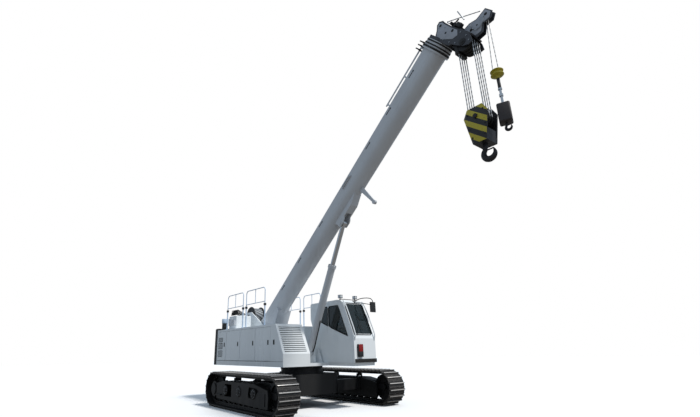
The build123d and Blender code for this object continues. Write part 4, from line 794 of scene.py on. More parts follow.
@dataclass
class Housing:
    """Fittings of the machinery housings: latches, grilles, hinges, exhaust and roof."""

    shop: Workshop
    door_face: float = -1.5

    def doors(self) -> None:
        """Fit latches, hinges and grilles to the four side doors."""
        shop = self.shop
        face = self.door_face
        spans = ((Body.REAR_DOOR, -4.300, -3.430), (Body.COOLER_DOOR, -3.430, -2.160),
                 (Body.PUMP_DOOR, -2.160, -0.900), (Body.ENGINE_DOOR, -0.900, 0.230))
        for body, rear, front in spans:
            guard = shop.block((front - 0.218, face - 0.004, 2.088), (front - 0.132, face + 0.001, 2.252),
                               0.0015)
            guard = shop.press(guard, lambda at, to: to.y < -0.9, 0.020, 0.002)
            paddle = shop.block((front - 0.196, face + 0.001, 2.112), (front - 0.154, face + 0.011, 2.228),
                                0.006, 3)
            paddle = shop.press(paddle, lambda at, to: to.y < -0.9, 0.007, -0.004)
            key = shop.turned([(0.0, -0.004), (0.011, -0.004), (0.011, 0.002), (0.0, 0.003)],
                              (front - 0.175, face + 0.002, 2.135), (0, -1, 0), 20)
            shop.fit(shop.join([paddle, key, guard]), f"{body.value}_latch", MOULDED, body, "black_plastic")
            pin = (rear + 0.012, face - 0.004)
            knuckles = [shop.round_bar((*pin, z - 0.05), (*pin, z + 0.05), 0.010, 0.002, 14)
                        for z in (1.72, 2.53)]
            shop.fit(shop.join(knuckles), f"{body.value}_hinges", WHITE_ENAMEL, body, "white_paint")
            edge = [(rear + 0.02, face - 0.001, 1.55), (front - 0.02, face - 0.001, 1.55),
                    (front - 0.02, face - 0.001, 2.70), (rear + 0.02, face - 0.001, 2.70),
                    (rear + 0.02, face - 0.001, 1.55)]
            shop.fit(shop.pipe(edge, 0.003, 2), f"{body.value}_fold", WHITE_ENAMEL, body, "white_paint")
        rows = [(low, high) for low, high in ((1.69, 1.93), (2.00, 2.24), (2.29, 2.45))]
        slats, frames = [], []
        for low, high in rows:
            count = int((high - low - 0.02) / 0.022)
            slats += [Matrix.Translation((-3.98, face + 0.006, low + 0.02 + 0.022 * i))
                      @ Matrix.Rotation(math.radians(-35), 4, "X") for i in range(count)]
            loop = [(-4.185, face, low - 0.005), (-3.775, face, low - 0.005), (-3.775, face, high + 0.005),
                    (-4.185, face, high + 0.005), (-4.185, face, low - 0.005)]
            frames.append(shop.pipe(loop, 0.006, 2))
        slat = shop.block((-0.20, -0.007, -0.0015), (0.20, 0.007, 0.0015))
        shop.fit(shop.scatter(slat, slats), "rear_grille_slats", MESH_GREY, Body.REAR_DOOR, "black_plastic")
        shop.fit(shop.join(frames), "rear_grille_frames", MOULDED, Body.REAR_DOOR, "black_plastic")

    def trim(self) -> None:
        """Fit the front latch, a dark strip along the belt as painted shadow of its gap, and the front
        corner's lines.
        """
        shop = self.shop
        face = self.door_face
        latch = shop.block((0.415, face - 0.008, 2.088), (0.505, face + 0.001, 2.252), 0.003)
        latch = shop.press(latch, lambda at, to: to.y < -0.9, 0.014, -0.004)
        shop.fit(latch, "front_panel_latch", MOULDED, Body.UPPER, "black_plastic")
        # A thin black strip along the belt line: painted shadow in the gap there.
        seam = shop.block((-4.32, face - 0.0015, 1.521), (1.04, face + 0.001, 1.531))
        shop.fit(seam, "belt_gap_painted_shadow", RUBBER, Body.UPPER, "black_plastic")
        skin = face - 0.001
        fold = shop.pipe([(1.066, skin, 1.46), (1.066, skin, 1.765), (0.562, skin, 2.775)], 0.006, 2)
        shop.fit(fold, "front_corner_fold", WHITE_ENAMEL, Body.UPPER, "white_paint")

    def valves(self) -> None:
        """Fit the dark valves and hoses inside the rear hoop."""
        shop = self.shop
        parts = []
        for i, x in enumerate((-3.62, -3.50, -3.38, -3.26, -3.14)):
            high = 3.52 + 0.04 * (i % 2)
            parts.append(shop.round_bar((x, -1.18, 3.40), (x, -1.18, high), 0.035, 0.006, 16))
            parts.append(shop.pipe([(x, -1.18, 3.50), (x + 0.05, -1.24, 3.62), (x + 0.09, -1.10, 3.55),
                                    (x + 0.06, -0.80, 3.41)], 0.016))
        parts.append(shop.block((-3.68, -1.22, 3.40), (-3.08, -1.12, 3.435), 0.006))
        shop.fit(shop.join(parts), "valve_bank", RUBBER, Body.UPPER, "black_plastic")

    def roof(self) -> None:
        """Fit the exhaust cap, the grip strips, filler caps and the boxes by the rear hoop."""
        shop = self.shop
        stack = shop.turned([(0.0, 2.79), (0.150, 2.79), (0.150, 2.802), (0.128, 2.810), (0.128, 3.10),
                             (0.110, 3.11), (0.0, 3.11)], (-4.15, -1.26, 0.0))
        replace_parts(shop.fit(stack, "exhaust_stack", MOULDED, Body.UPPER, "black_plastic"), "exhaust")
        cap = shop.turned([(0.105, 3.09), (0.140, 3.09), (0.144, 3.10), (0.144, 3.270), (0.138, 3.280),
                           (0.128, 3.280), (0.122, 3.270), (0.122, 3.11), (0.105, 3.11)],
                          (-4.15, -1.26, 0.0))
        # The cap gets the rails' pale blue, painted sky light.
        shop.fit(cap, "exhaust_cap", SKY_LIT_RAIL_ENAMEL, Body.UPPER, "white_paint")
        dots = [Matrix.Translation((-2.85 + 0.11 * i, -1.33 + 0.11 * j, 2.79))
                for i in range(21) for j in range(7)]
        stud = shop.turned([(0.016, 0.0), (0.013, 0.005), (0.0, 0.006)], (0, 0, 0), steps=10)
        shop.fit(shop.scatter(stud, dots), "roof_grip_studs", MOULDED, Body.UPPER, "black_plastic")
        caps = []
        for x, y, radius in ((-3.19, -0.90, 0.09), (-3.56, -0.90, 0.055)):
            caps.append(shop.turned([(radius * 0.6, 0.0), (radius, 0.004), (radius, 0.028),
                                     (radius * 0.9, 0.036), (0.0, 0.037)], (x, y, 3.398), steps=28))
        shop.fit(shop.join(caps), "tank_caps", MOULDED, Body.UPPER, "black_plastic")
        boxes = [shop.block((-3.62, -1.345, 2.95), (-3.30, -1.28, 3.25), 0.014, 3),
                 shop.block((-3.26, -1.335, 2.95), (-3.06, -1.28, 3.15), 0.012, 3)]
        shop.fit(shop.join(boxes), "rear_hoop_boxes", SHADED_BOOM_ENAMEL, Body.UPPER, "white_paint")

    def build(self) -> None:
        """Fit every piece of the housings."""
        self.doors()
        self.trim()
        self.valves()
        self.roof()


@dataclass
class Cab:
    """Seals, lamps, wiper, rails and seat pads of the operator's cab."""

    shop: Workshop
    right: float = 0.410
    left: float = 1.441

    def seals(self) -> None:
        """Fit the black rubber seals round the panes."""
        shop = self.shop
        seat = 0.016
        right = [[(2.20, 2.33), (1.735, 3.41), (1.18, 3.41), (1.18, 2.69)],
                 [(1.12, 2.715), (1.12, 3.41), (0.87, 3.405), (0.56, 2.95)]]
        left = [[(2.20, 2.33), (1.735, 3.41), (1.56, 3.41), (1.56, 2.33)]]
        seals = []
        for outlines, y in ((right, self.right), (left, self.left)):
            for outline in outlines:
                loop = [(x, y, z) for x, z in [*outline, outline[0]]]
                seals.append(shop.pipe(loop, seat, 2))
        foot, head = (2.461, 2.362), (1.987, 3.484)
        seals.append(shop.pipe([(foot[0], 0.483, foot[1]), (foot[0], 1.337, foot[1]),
                                (head[0], 1.337, head[1]), (head[0], 0.483, head[1]),
                                (foot[0], 0.483, foot[1])], seat, 2))
        seals.append(shop.pipe([(0.95, 0.59, 3.612), (1.55, 0.59, 3.612), (1.55, 1.23, 3.612),
                                (0.95, 1.23, 3.612), (0.95, 0.59, 3.612)], seat, 2))
        shop.fit(shop.join(seals), "window_seals", RUBBER, Body.UPPER, "black_plastic")
        door = [(0.57, 1.446, 2.33), (1.41, 1.446, 2.33), (1.41, 1.446, 3.36), (0.57, 1.446, 3.36),
                (0.57, 1.446, 2.33)]
        shop.fit(shop.pipe(door, seat, 2), "door_window_seal", RUBBER, Body.CAB_DOOR, "black_plastic")

    def rails(self) -> None:
        """Fit the tubes by the windscreen, the roof tube, the wiper and the front strip."""
        shop = self.shop
        tubes = [shop.pipe([(2.505, y, 2.20), (2.545, y, 2.33), (2.53, y, 2.45), (2.28, y, 3.03),
                            (2.06, y, 3.50), (1.98, y, 3.56)], 0.021) for y in (0.452, 1.368)]
        shop.fit(shop.join(tubes), "windscreen_tubes", WHITE_ENAMEL, Body.UPPER, "white_paint")
        bar = shop.pipe([(1.64, 0.56, 3.645), (1.66, 0.60, 3.655), (1.66, 1.36, 3.655), (1.64, 1.40, 3.645)],
                        0.013)
        shop.fit(bar, "roof_tube", MOULDED, Body.UPPER, "black_plastic")
        arm = shop.pipe([(2.485, 0.60, 2.36), (2.475, 0.62, 2.40), (2.345, 0.86, 2.72)], 0.008)
        blade = shop.round_bar((2.475, 0.90, 2.42), (2.22, 0.90, 3.02), 0.009, 0.002, 8)
        shop.fit(shop.join([arm, blade]), "wiper", RUBBER, Body.UPPER, "black_plastic")
        strip = shop.block((2.498, 0.425, 1.462), (2.526, 1.426, 1.578), 0.010, 3)
        shop.fit(strip, "front_strip", RUBBER, Body.UPPER, "black_plastic")
        bends = ((1.448, 2.42), (1.492, 2.46), (1.492, 3.10), (1.448, 3.14))
        grab = shop.pipe([(1.57, y, z) for y, z in bends], 0.012)
        shop.fit(grab, "cab_grab_rail", MOULDED, Body.UPPER, "black_plastic")

    def lights(self) -> None:
        """Fit the lenses and bezels of the lamps and the mirror's glass."""
        shop = self.shop
        bezels, lenses = [], []
        for y in (0.620, 1.340):
            bezels.append(shop.ring((1.692, y, 3.750), (1, 0, 0), 0.052, 0.007))
            lenses.append(shop.turned([(0.050, 0.0), (0.036, 0.008), (0.0, 0.012)], (1.690, y, 3.750),
                                      (1, 0, 0), 28))
        shells = [shop.block((1.578, y - 0.068, 3.687), (1.688, y + 0.068, 3.813), 0.016, 3)
                  for y in (0.620, 1.340)]
        shop.fit(shop.join([*bezels, *shells]), "work_lamp_shells", CHROME, Body.UPPER, "chrome")
        shop.fit(shop.join(lenses), "clear_lenses", CLEAR_LENS, Body.UPPER, "glass")
        dark = shop.block((2.545, 0.560, 1.650), (2.579, 0.750, 1.805), 0.012, 3)
        shop.fit(dark, "headlamp_lower", MOULDED, Body.UPPER, "black_plastic")
        red = shop.block((2.545, 0.566, 1.810), (2.581, 0.744, 2.045), 0.014, 3)
        shop.fit(red, "red_lens", RED_LENS, Body.UPPER, "glass")
        arm = shop.pipe([(1.93, 1.05, 3.565), (2.05, 1.16, 3.66), (2.30, 1.36, 3.68), (2.44, 1.46, 3.62),
                         (2.455, 1.47, 3.50)], 0.015)
        shop.fit(arm, "mirror_arm", MOULDED, Body.UPPER, "black_plastic")
        silver = shop.block((2.4325, 1.335, 3.170), (2.4365, 1.555, 3.490), 0.0015)
        shop.fit(silver, "mirror_glass", SILVERED, Body.UPPER, "glass")

    def pad(self, low: Point, high: Point, crown: float, tilt: float = 0.0) -> bpy.types.Object:
        """Return a stuffed pad between two corners.

        Args:
            low: The lower corner.
            high: The upper corner.
            crown: How far the middle of each face swells.
            tilt: Lean about the pad's foot, in radians.
        """
        shop = self.shop
        middle = (Vector(low) + Vector(high)) / 2
        half = (Vector(high) - Vector(low)) / 2
        bpy.ops.mesh.primitive_cube_add(size=2.0)
        pad = bpy.context.object
        bpy.ops.object.mode_set(mode="EDIT")
        bpy.ops.mesh.select_all(action="SELECT")
        bpy.ops.mesh.subdivide(number_cuts=7)
        bpy.ops.object.mode_set(mode="OBJECT")
        for vertex in pad.data.vertices:
            u = vertex.co.copy()
            bulge = [(1 - u[(i + 1) % 3] ** 2) * (1 - u[(i + 2) % 3] ** 2) for i in range(3)]
            waist = 1.0 - 0.06 * (abs(u.x) > 0.999) * (abs(u.y) > 0.999)
            vertex.co = Vector(u[i] * (half[i] - crown * 0.4) * waist + math.copysign(crown, u[i])
                               * bulge[i] * abs(u[i]) for i in range(3))
        smooth = pad.modifiers.new("smooth", "SUBSURF")
        smooth.levels = 1
        shop.activate(pad)
        bpy.ops.object.modifier_apply(modifier=smooth.name)
        foot = Matrix.Translation((middle.x, middle.y, low[2]))
        pad.matrix_world = foot @ Matrix.Rotation(tilt, 4, "Y") @ Matrix.Translation((0, 0, half.z))
        return shop.settle(pad)

    def seat(self) -> None:
        """Fit the stuffed pads of the seat, their piping and the bellows under them."""
        shop = self.shop
        lean = math.radians(-10.0)
        pads = (("seat_cushion", (0.69, 0.67, 1.83), (1.21, 1.15, 1.965), 0.022, 0.0),
                ("seat_back", (0.62, 0.69, 1.945), (0.755, 1.13, 2.60), 0.020, lean),
                ("head_rest", (0.515, 0.78, 2.61), (0.625, 1.04, 2.81), 0.014, lean))
        for name, low, high, crown, tilt in pads:
            piece = shop.fit(self.pad(low, high, crown, tilt), name, SEAT_CLOTH, Body.UPPER, "seat_fabric")
            bpy.ops.object.shade_smooth()
        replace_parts(piece, "cab_seat")
        piping = shop.pipe([(0.72, 0.685, 1.90), (1.19, 0.685, 1.90), (1.20, 0.70, 1.90), (1.20, 1.12, 1.90),
                            (1.19, 1.135, 1.90), (0.72, 1.135, 1.90)], 0.005)
        shop.fit(piping, "seat_piping", TRIM_GREY, Body.UPPER, "seat_fabric")
        folds = []
        for i in range(7):
            folds += [(0.20, 0.02 + 0.044 * i), (0.17, 0.042 + 0.044 * i)]
        bellows = shop.turned([(0.0, 0.0), *folds, (0.20, 0.33), (0.0, 0.33)], (0.95, 0.91, 1.496), steps=4)
        shop.fit(bellows, "seat_bellows", RUBBER, Body.UPPER, "black_plastic")

    def build(self) -> None:
        """Fit every piece of the cab."""
        self.seat()
        self.seals()
        self.rails()
        self.lights()


@dataclass
class BoomDress:
    """Tube, brackets, rings and cover plates along the boom."""

    shop: Workshop

    def band(self, low: float, high: float, inner: float, outer: float) -> bpy.types.Object:
        """Return a band round the boom's section, between two distances along it.

        Args:
            low: Where the band starts along the boom.
            high: Where it ends.
            inner: How far its inner face stands out from the base section.
            outer: How far its outer face stands out.
        """
        def loop(s: float, out: float) -> list[Point]:
            """Return the section's outline at a distance along the boom."""
            half, top = BOOM_HALF + out, BOOM_TOP + out
            corner = [(half - 0.05, top), (half, top - 0.05)]
            arc = [(half * math.cos(a), -0.0775 - half * math.sin(a))
                   for a in (math.pi * i / 24 for i in range(25))]
            outline = corner + arc + [(-y, n) for y, n in reversed(corner)]
            return [(s, y, n) for y, n in outline]

        rings = [loop(low, inner), loop(low, outer), loop(high, outer), loop(high, inner)]
        count = len(rings[0])
        faces = [(i * count + j, i * count + (j + 1) % count, (i + 1) % 4 * count + (j + 1) % count,
                  (i + 1) % 4 * count + j) for i in range(4) for j in range(count)]
        mesh = bpy.data.meshes.new("band")
        mesh.from_pydata([corner for ring in rings for corner in ring], [], faces)
        piece = bpy.data.objects.new("band", mesh)
        bpy.context.scene.collection.objects.link(piece)
        self.shop.activate(piece)
        bpy.ops.object.mode_set(mode="EDIT")
        bpy.ops.mesh.select_all(action="SELECT")
        bpy.ops.mesh.normals_make_consistent(inside=False)
        bpy.ops.object.mode_set(mode="OBJECT")
        return piece

    def build(self) -> None:
        """Fit every piece of the boom and its telescoped sections."""
        shop = self.shop
        side = -BOOM_HALF
        tube = shop.round_bar((10.10, -0.20, 0.50), (12.20, -0.20, 0.50), 0.026, 0.004, 20)
        feet = [shop.block((s, -0.225, 0.300), (s + 0.05, -0.175, 0.500), 0.006)
                for s in (10.16, 11.15, 12.10)]
        shop.fit(shop.on_boom(shop.join([tube, *feet])), "boom_top_tube", SHADED_BOOM_ENAMEL, Body.BOOM,
                 "white_paint")
        slots = []
        for s, n in ((1.9, 0.16), (3.4, 0.16), (5.2, 0.18), (8.6, 0.17), (9.9, 0.17), (11.2, 0.15)):
            slots.append(shop.block((s, side - 0.003, n - 0.018), (s + 0.20, side + 0.01, n + 0.018),
                                    0.0025))
            slots.append(shop.turned([(0.0, 0.0), (0.034, 0.0), (0.031, 0.003), (0.0, 0.004)],
                                     (s + 0.24, side, n), (0, -1, 0), 16))
        shop.fit(shop.on_boom(shop.join(slots)), "boom_side_slots", MOULDED, Body.BOOM, "black_plastic")
        seams = [shop.pipe([(-0.35, y, -0.078), (12.15, y, -0.078)], 0.0035, 2)
                 for y in (-BOOM_HALF, BOOM_HALF)]
        shop.fit(shop.on_boom(shop.join(seams)), "boom_weld_seams", SHADED_BOOM_ENAMEL, Body.BOOM, "white_paint")
        pads = [(s, y, 0.368) for s in (12.19, 12.24) for y in (-0.24, -0.08, 0.08, 0.24)]
        shop.fit(shop.on_boom(shop.bolts(pads, (0, 0, 1), 0.012, 0.014)), "collar_bolts_top", ZINC,
                 Body.BOOM, "steel")
        flank = [(12.215, y * 0.3585, n) for y in (-1, 1) for n in (-0.02, 0.08, 0.18, 0.28)]
        heads = [shop.bolts([place], (0, math.copysign(1, place[1]), 0), 0.012, 0.014) for place in flank]
        shop.fit(shop.on_boom(shop.join(heads)), "collar_bolts_side", ZINC, Body.BOOM, "steel")
        for name, body, low, high, out in (
                ("boom_mouth_band", Body.BOOM, 12.205, 12.262, 0.060),
                ("second_band", Body.SECOND, 12.300, 12.345, 0.048),
                ("third_band", Body.THIRD, 12.396, 12.440, 0.036)):
            seal = shop.on_boom(self.band(low, high, out, out + 0.006))
            shop.fit(seal, name, RUBBER, body, "black_plastic")
        clamps = []
        for s in (12.02, 12.14, 12.25):
            clamps.append(shop.block((s, -0.33, 0.365), (s + 0.05, -0.05, 0.43), 0.008))
            clamps.append(shop.round_bar((s + 0.025, -0.34, 0.40), (s + 0.025, -0.34, 0.54), 0.020,
                                         0.004, 14))
        shop.fit(shop.on_boom(shop.join(clamps)), "boom_mouth_clamps", WORN_BLACK, Body.BOOM, "dark_steel")
        hoses = [shop.pipe([(-0.10, y, 0.05), (-0.34, y * 0.9, -0.10), (-0.20, y * 0.8, -0.42),
                            (0.30, y * 0.7, -0.50)], 0.018) for y in (-0.10, 0.0, 0.10)]
        shop.fit(shop.on_boom(shop.join(hoses)), "boom_tail_hoses", RUBBER, Body.BOOM, "black_plastic")


@dataclass
class HeadDress:
    """Ropes, rods and fasteners on the boom head."""

    shop: Workshop

    def build(self) -> None:
        """Fit every piece of the head."""
        shop = self.shop
        ropes = [shop.pipe([(7.83, -0.10, 11.115), (8.33, -0.10, 10.905), (8.83, -0.10, 10.680)], 0.013),
                 shop.pipe([(7.84, -0.10, 11.08), (8.05, -0.10, 10.82), (8.27, -0.10, 10.565)], 0.011),
                 shop.pipe([(8.90, -0.10, 10.46), (8.86, -0.11, 10.24), (8.66, -0.12, 10.16),
                            (8.52, -0.11, 10.30), (8.50, -0.10, 10.48)], 0.009)]
        shop.fit(shop.join(ropes), "head_tie_ropes", ROPE, Body.TIP, "rope")
        plate = [(12.50, 0.00), (12.69, 0.10), (12.84, 0.22), (12.92, 0.22), (12.96, 0.13),
                 (12.94, 0.00), (12.92, -0.30), (12.92, -0.60), (12.80, -0.72), (12.66, -0.62),
                 (12.58, -0.35), (12.52, -0.10)]
        arm = [(12.99, -0.60), (13.20, -0.67), (13.36, -0.82), (13.66, -0.88), (13.66, -1.10),
               (13.52, -1.18), (13.34, -1.08), (13.14, -1.20), (12.99, -1.12)]
        plates = [shop.plate(plate, side * 0.300, side * 0.308, 0.003) for side in (-1, 1)]
        plates += [shop.plate(arm, side * 0.085, side * 0.092, 0.003) for side in (-1, 1)]
        shop.fit(shop.on_boom(shop.join(plates)), "head_plates", PLATE_GREY, Body.TIP, "dark_steel")
        # Black rubber disks on the plates where the holes are: painted shade of the holes.
        holes = [shop.turned([(0.0, 0.0), (radius, 0.0), (radius * 0.85, 0.004), (0.0, 0.002)],
                             (s, side * (out + 0.0005), n), (0, side, 0), 24)
                 for side in (-1, 1) for s, n, radius, out in (
                     (12.86, 0.12, 0.045, 0.308), (12.74, -0.24, 0.035, 0.308),
                     (12.86, -0.44, 0.045, 0.308), (13.56, -0.99, 0.045, 0.092),
                     (13.08, -0.86, 0.050, 0.092), (13.24, -0.94, 0.025, 0.092))]
        shop.fit(shop.on_boom(shop.join(holes)), "head_holes_painted_shade", RUBBER, Body.TIP, "black_plastic")
        clutter = [shop.block((12.96, -0.20, -0.30), (13.10, 0.20, -0.18), 0.012),
                   shop.round_bar((13.04, -0.24, -0.14), (13.04, 0.24, -0.14), 0.045, 0.006, 20),
                   shop.round_bar((13.00, -0.17, -0.20), (13.22, -0.17, -0.26), 0.022, 0.004, 14),
                   shop.block((13.02, -0.23, -0.52), (13.14, -0.10, -0.34), 0.010)]
        shop.fit(shop.on_boom(shop.join(clutter)), "head_rope_guides", WORN_BLACK, Body.TIP, "dark_steel")
        rod = shop.round_bar((8.27, -0.24, 11.06), (8.42, -0.24, 10.645), 0.016, 0.003, 16)
        shop.fit(rod, "head_rod", ZINC, Body.TIP, "steel")
        bar = shop.block((7.98, -0.22, 9.74), (8.10, 0.22, 10.16), 0.018, 3)
        shop.fit(bar, "rope_anchor_bar", WORN_BLACK, Body.TIP, "dark_steel")
        cheek = [(12.60, -0.80), (12.66, -1.05), (12.80, -1.20), (12.88, -1.02), (12.90, -0.76),
                 (12.88, -0.40), (12.86, -0.10), (12.78, 0.12), (12.56, -0.02), (12.56, -0.30),
                 (12.56, -0.58)]
        places = [(s, side * 0.302, n) for side in (-1, 1) for s, n in cheek]
        heads = [shop.bolts([place], (0, math.copysign(1, place[1]), 0), 0.016, 0.016) for place in places]
        shop.fit(shop.on_boom(shop.join(heads)), "head_bolts", ZINC, Body.TIP, "steel")
        caps = [shop.turned([(0.0, 0.0), (0.105, 0.0), (0.105, 0.010), (0.085, 0.020), (0.050, 0.022),
                             (0.046, 0.034), (0.0, 0.036)], (8.29, side * 0.299, 9.945), (0, side, 0))
                for side in (-1, 1)]
        shop.fit(shop.join(caps), "head_pin_caps", WORN_BLACK, Body.TIP, "dark_steel")
        runner = [shop.turned([(0.0, 0.0), (0.062, 0.0), (0.062, 0.008), (0.0, 0.012)],
                              (8.816, side * 0.084, 10.435), (0, side, 0)) for side in (-1, 1)]
        shop.fit(shop.join(runner), "runner_pin_caps", ZINC, Body.TIP, "steel")


@dataclass
class Blocks:
    """The striped main block's fasteners and the auxiliary line's saucer, link and weight."""

    shop: Workshop
    axis_x: float = 8.912
    block_x: float = 8.29
    sheave_z: float = 7.58
    fall_offset: float = 0.2165
    fall_length: float = 2.365

    def build(self) -> None:
        """Fit every piece of both hook blocks."""
        shop = self.shop
        centre_bolt = (self.block_x, self.sheave_z)
        rods = [Matrix.Translation((self.block_x + side * self.fall_offset, y, self.sheave_z))
                for side in (-1, 1) for y in (-0.1725, -0.0575, 0.0575, 0.1725)]
        rope = shop.round_bar((0, 0, 0), (0, 0, self.fall_length), 0.014, sides=12)
        falls = shop.fit(shop.scatter(rope, rods), "main_ropes", ROPE, Body.MAIN_BLOCK, "rope")
        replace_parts(falls, "main_falls")
        outline = [(8.075, 7.85), (8.505, 7.85), (8.625, 7.625), (8.480, 6.83), (8.100, 6.83),
                   (7.955, 7.625)]
        cheeks = [shop.plate(outline, side * 0.2495, side * 0.2535, 0.001) for side in (-1, 1)]
        shop.fit(shop.join(cheeks), "block_striped_cheeks", BLOCK_STRIPES, Body.MAIN_BLOCK, "hook_yellow")
        spots = (centre_bolt, (8.07, 7.70), (8.51, 7.70), (8.07, 7.28), (8.51, 7.28), (8.12, 7.00),
                 (8.46, 7.00))
        heads = []
        for side in (-1, 1):
            for x, z in spots:
                radius, out = (0.062, 0.27) if (x, z) == centre_bolt else (0.024, 0.253)
                heads.append(shop.turned([(0.0, 0.0), (radius, 0.0), (radius, radius * 0.3),
                                          (radius * 0.8, radius * 0.5), (0.0, radius * 0.55)],
                                         (x, side * out, z), (0, side, 0), 24))
        shop.fit(shop.join(heads), "block_bolts", FORGED_STEEL, Body.MAIN_BLOCK, "dark_steel")
        saucer = shop.turned([(0.030, 8.725), (0.060, 8.705), (0.145, 8.690), (0.160, 8.676), (0.160, 8.664),
                              (0.105, 8.640), (0.105, 8.592), (0.160, 8.566), (0.160, 8.552), (0.145, 8.538),
                              (0.060, 8.520), (0.045, 8.450), (0.0, 8.450)], (self.axis_x, 0, 0))
        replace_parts(shop.fit(saucer, "aux_saucer", SIGNAL_YELLOW, Body.AUX_LINE, "hook_yellow"), "aux_block")
        ropes = [shop.round_bar((8.902, 0, 10.348), (8.815, 0, 8.68), 0.010, sides=12),
                 shop.round_bar((8.950, 0, 10.435), (8.968, 0, 8.68), 0.010, sides=12)]
        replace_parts(shop.fit(shop.join(ropes), "aux_ropes", ROPE, Body.AUX_LINE, "rope"), "aux_line")
        link = shop.round_bar((self.axis_x, 0, 8.12), (self.axis_x, 0, 8.47), 0.040, 0.006, 20)
        shop.fit(link, "aux_swivel", MOULDED, Body.AUX_LINE, "dark_steel")
        rod = shop.turned([(0.0, 7.66), (0.030, 7.66), (0.030, 7.90), (0.048, 7.91), (0.048, 7.98),
                           (0.030, 7.99), (0.030, 8.10), (0.050, 8.11), (0.050, 8.15), (0.0, 8.15)],
                          (self.axis_x, 0, 0))
        shop.fit(rod, "aux_link", CHROME, Body.AUX_LINE, "steel")
        weight = shop.block((-0.155, -0.155, 7.140), (0.155, 0.155, 7.670), 0.040, 4)
        weight.matrix_world = Matrix.Translation((self.axis_x, 0, 0)) @ Matrix.Rotation(
            math.radians(23.5), 4, "Z")
        shop.settle(weight)
        shop.fit(weight, "aux_weight", WEIGHT_PAINT, Body.AUX_LINE, "dark_steel")
        big = shop.hook((self.block_x, 6.545), 0.158, 0.080, 6.86)
        forging = shop.fit(big, "main_hook_forging", FORGED_STEEL, Body.MAIN_HOOK, "dark_steel")
        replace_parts(forging, "main_hook")
        small = shop.hook((8.915, 7.010), 0.074, 0.036, 7.17)
        forging = shop.fit(small, "aux_hook_forging", FORGED_STEEL, Body.AUX_HOOK, "dark_steel")
        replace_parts(forging, "aux_hook")


@dataclass
class Winches:
    """Rope turns and rims of the two winch drums."""

    shop: Workshop
    rope: float = 0.011
    rope_pitch: float = 0.0232
    layers: int = 2
    bolts_round: int = 12

    def build(self) -> None:
        """Fit the rope turns and the bolts of both drums."""
        shop = self.shop
        for word, body, centre, core, rim in (
                ("main", Body.MAIN_WINCH, (-3.64, 3.42), 0.300, 0.36),
                ("aux", Body.AUX_WINCH, (-3.34, 2.52), 0.240, 0.29)):
            turns = []
            for layer in range(self.layers):
                radius = core + self.rope * (1 + 1.8 * layer)
                count = 19 - layer
                across = [(i - (count - 1) / 2) * self.rope_pitch for i in range(count)]
                turns += [shop.ring((centre[0], y, centre[1]), (0, 1, 0), radius, self.rope, 44, 6)
                          for y in across]
            shop.fit(shop.join(turns), f"{word}_rope_turns", ROPE, body, "rope")
            heads = [shop.bolts([(centre[0] + rim * math.cos(a), side * 0.255,
                                  centre[1] + rim * math.sin(a))], (0, side, 0), 0.010, 0.010)
                     for side in (-1, 1)
                     for a in (math.tau * i / self.bolts_round for i in range(self.bolts_round))]
            shop.fit(shop.join(heads), f"{word}_drum_bolts", ZINC, body, "steel")


@dataclass
class Ram:
    """Gland bolts and the hose of the derricking cylinder."""

    shop: Workshop
    foot: tuple[float, float] = (0.495, 1.790)
    angle: float = math.radians(63.49)
    length: float = 3.356
    gland_bolts: int = 10
    bolt_circle: float = 0.125

    def at(self, distance: float, y: float, out: float) -> Point:
        """Return the place at a distance up the barrel, out from its axis."""
        return (self.foot[0] + distance * math.cos(self.angle) + out * math.sin(self.angle), y,
                self.foot[1] + distance * math.sin(self.angle) - out * math.cos(self.angle))

    def build(self) -> None:
        """Fit every piece of the cylinder."""
        shop = self.shop
        up = (math.cos(self.angle), 0.0, math.sin(self.angle))
        heads = []
        for i in range(self.gland_bolts):
            a = math.tau * i / self.gland_bolts
            heads.append(self.at(self.length, self.bolt_circle * math.cos(a),
                                 self.bolt_circle * math.sin(a)))
        shop.fit(shop.bolts(heads, up, 0.011, 0.014), "gland_bolts", ZINC, Body.BARREL, "steel")
        hose = shop.pipe([self.at(1.30, 0.0, 0.140), self.at(1.22, 0.0, 0.172), self.at(0.60, 0.02, 0.168),
                          self.at(0.32, 0.03, 0.185), self.at(0.12, 0.03, 0.15)], 0.020)
        shop.fit(hose, "cylinder_hose", RUBBER, Body.BARREL, "black_plastic")


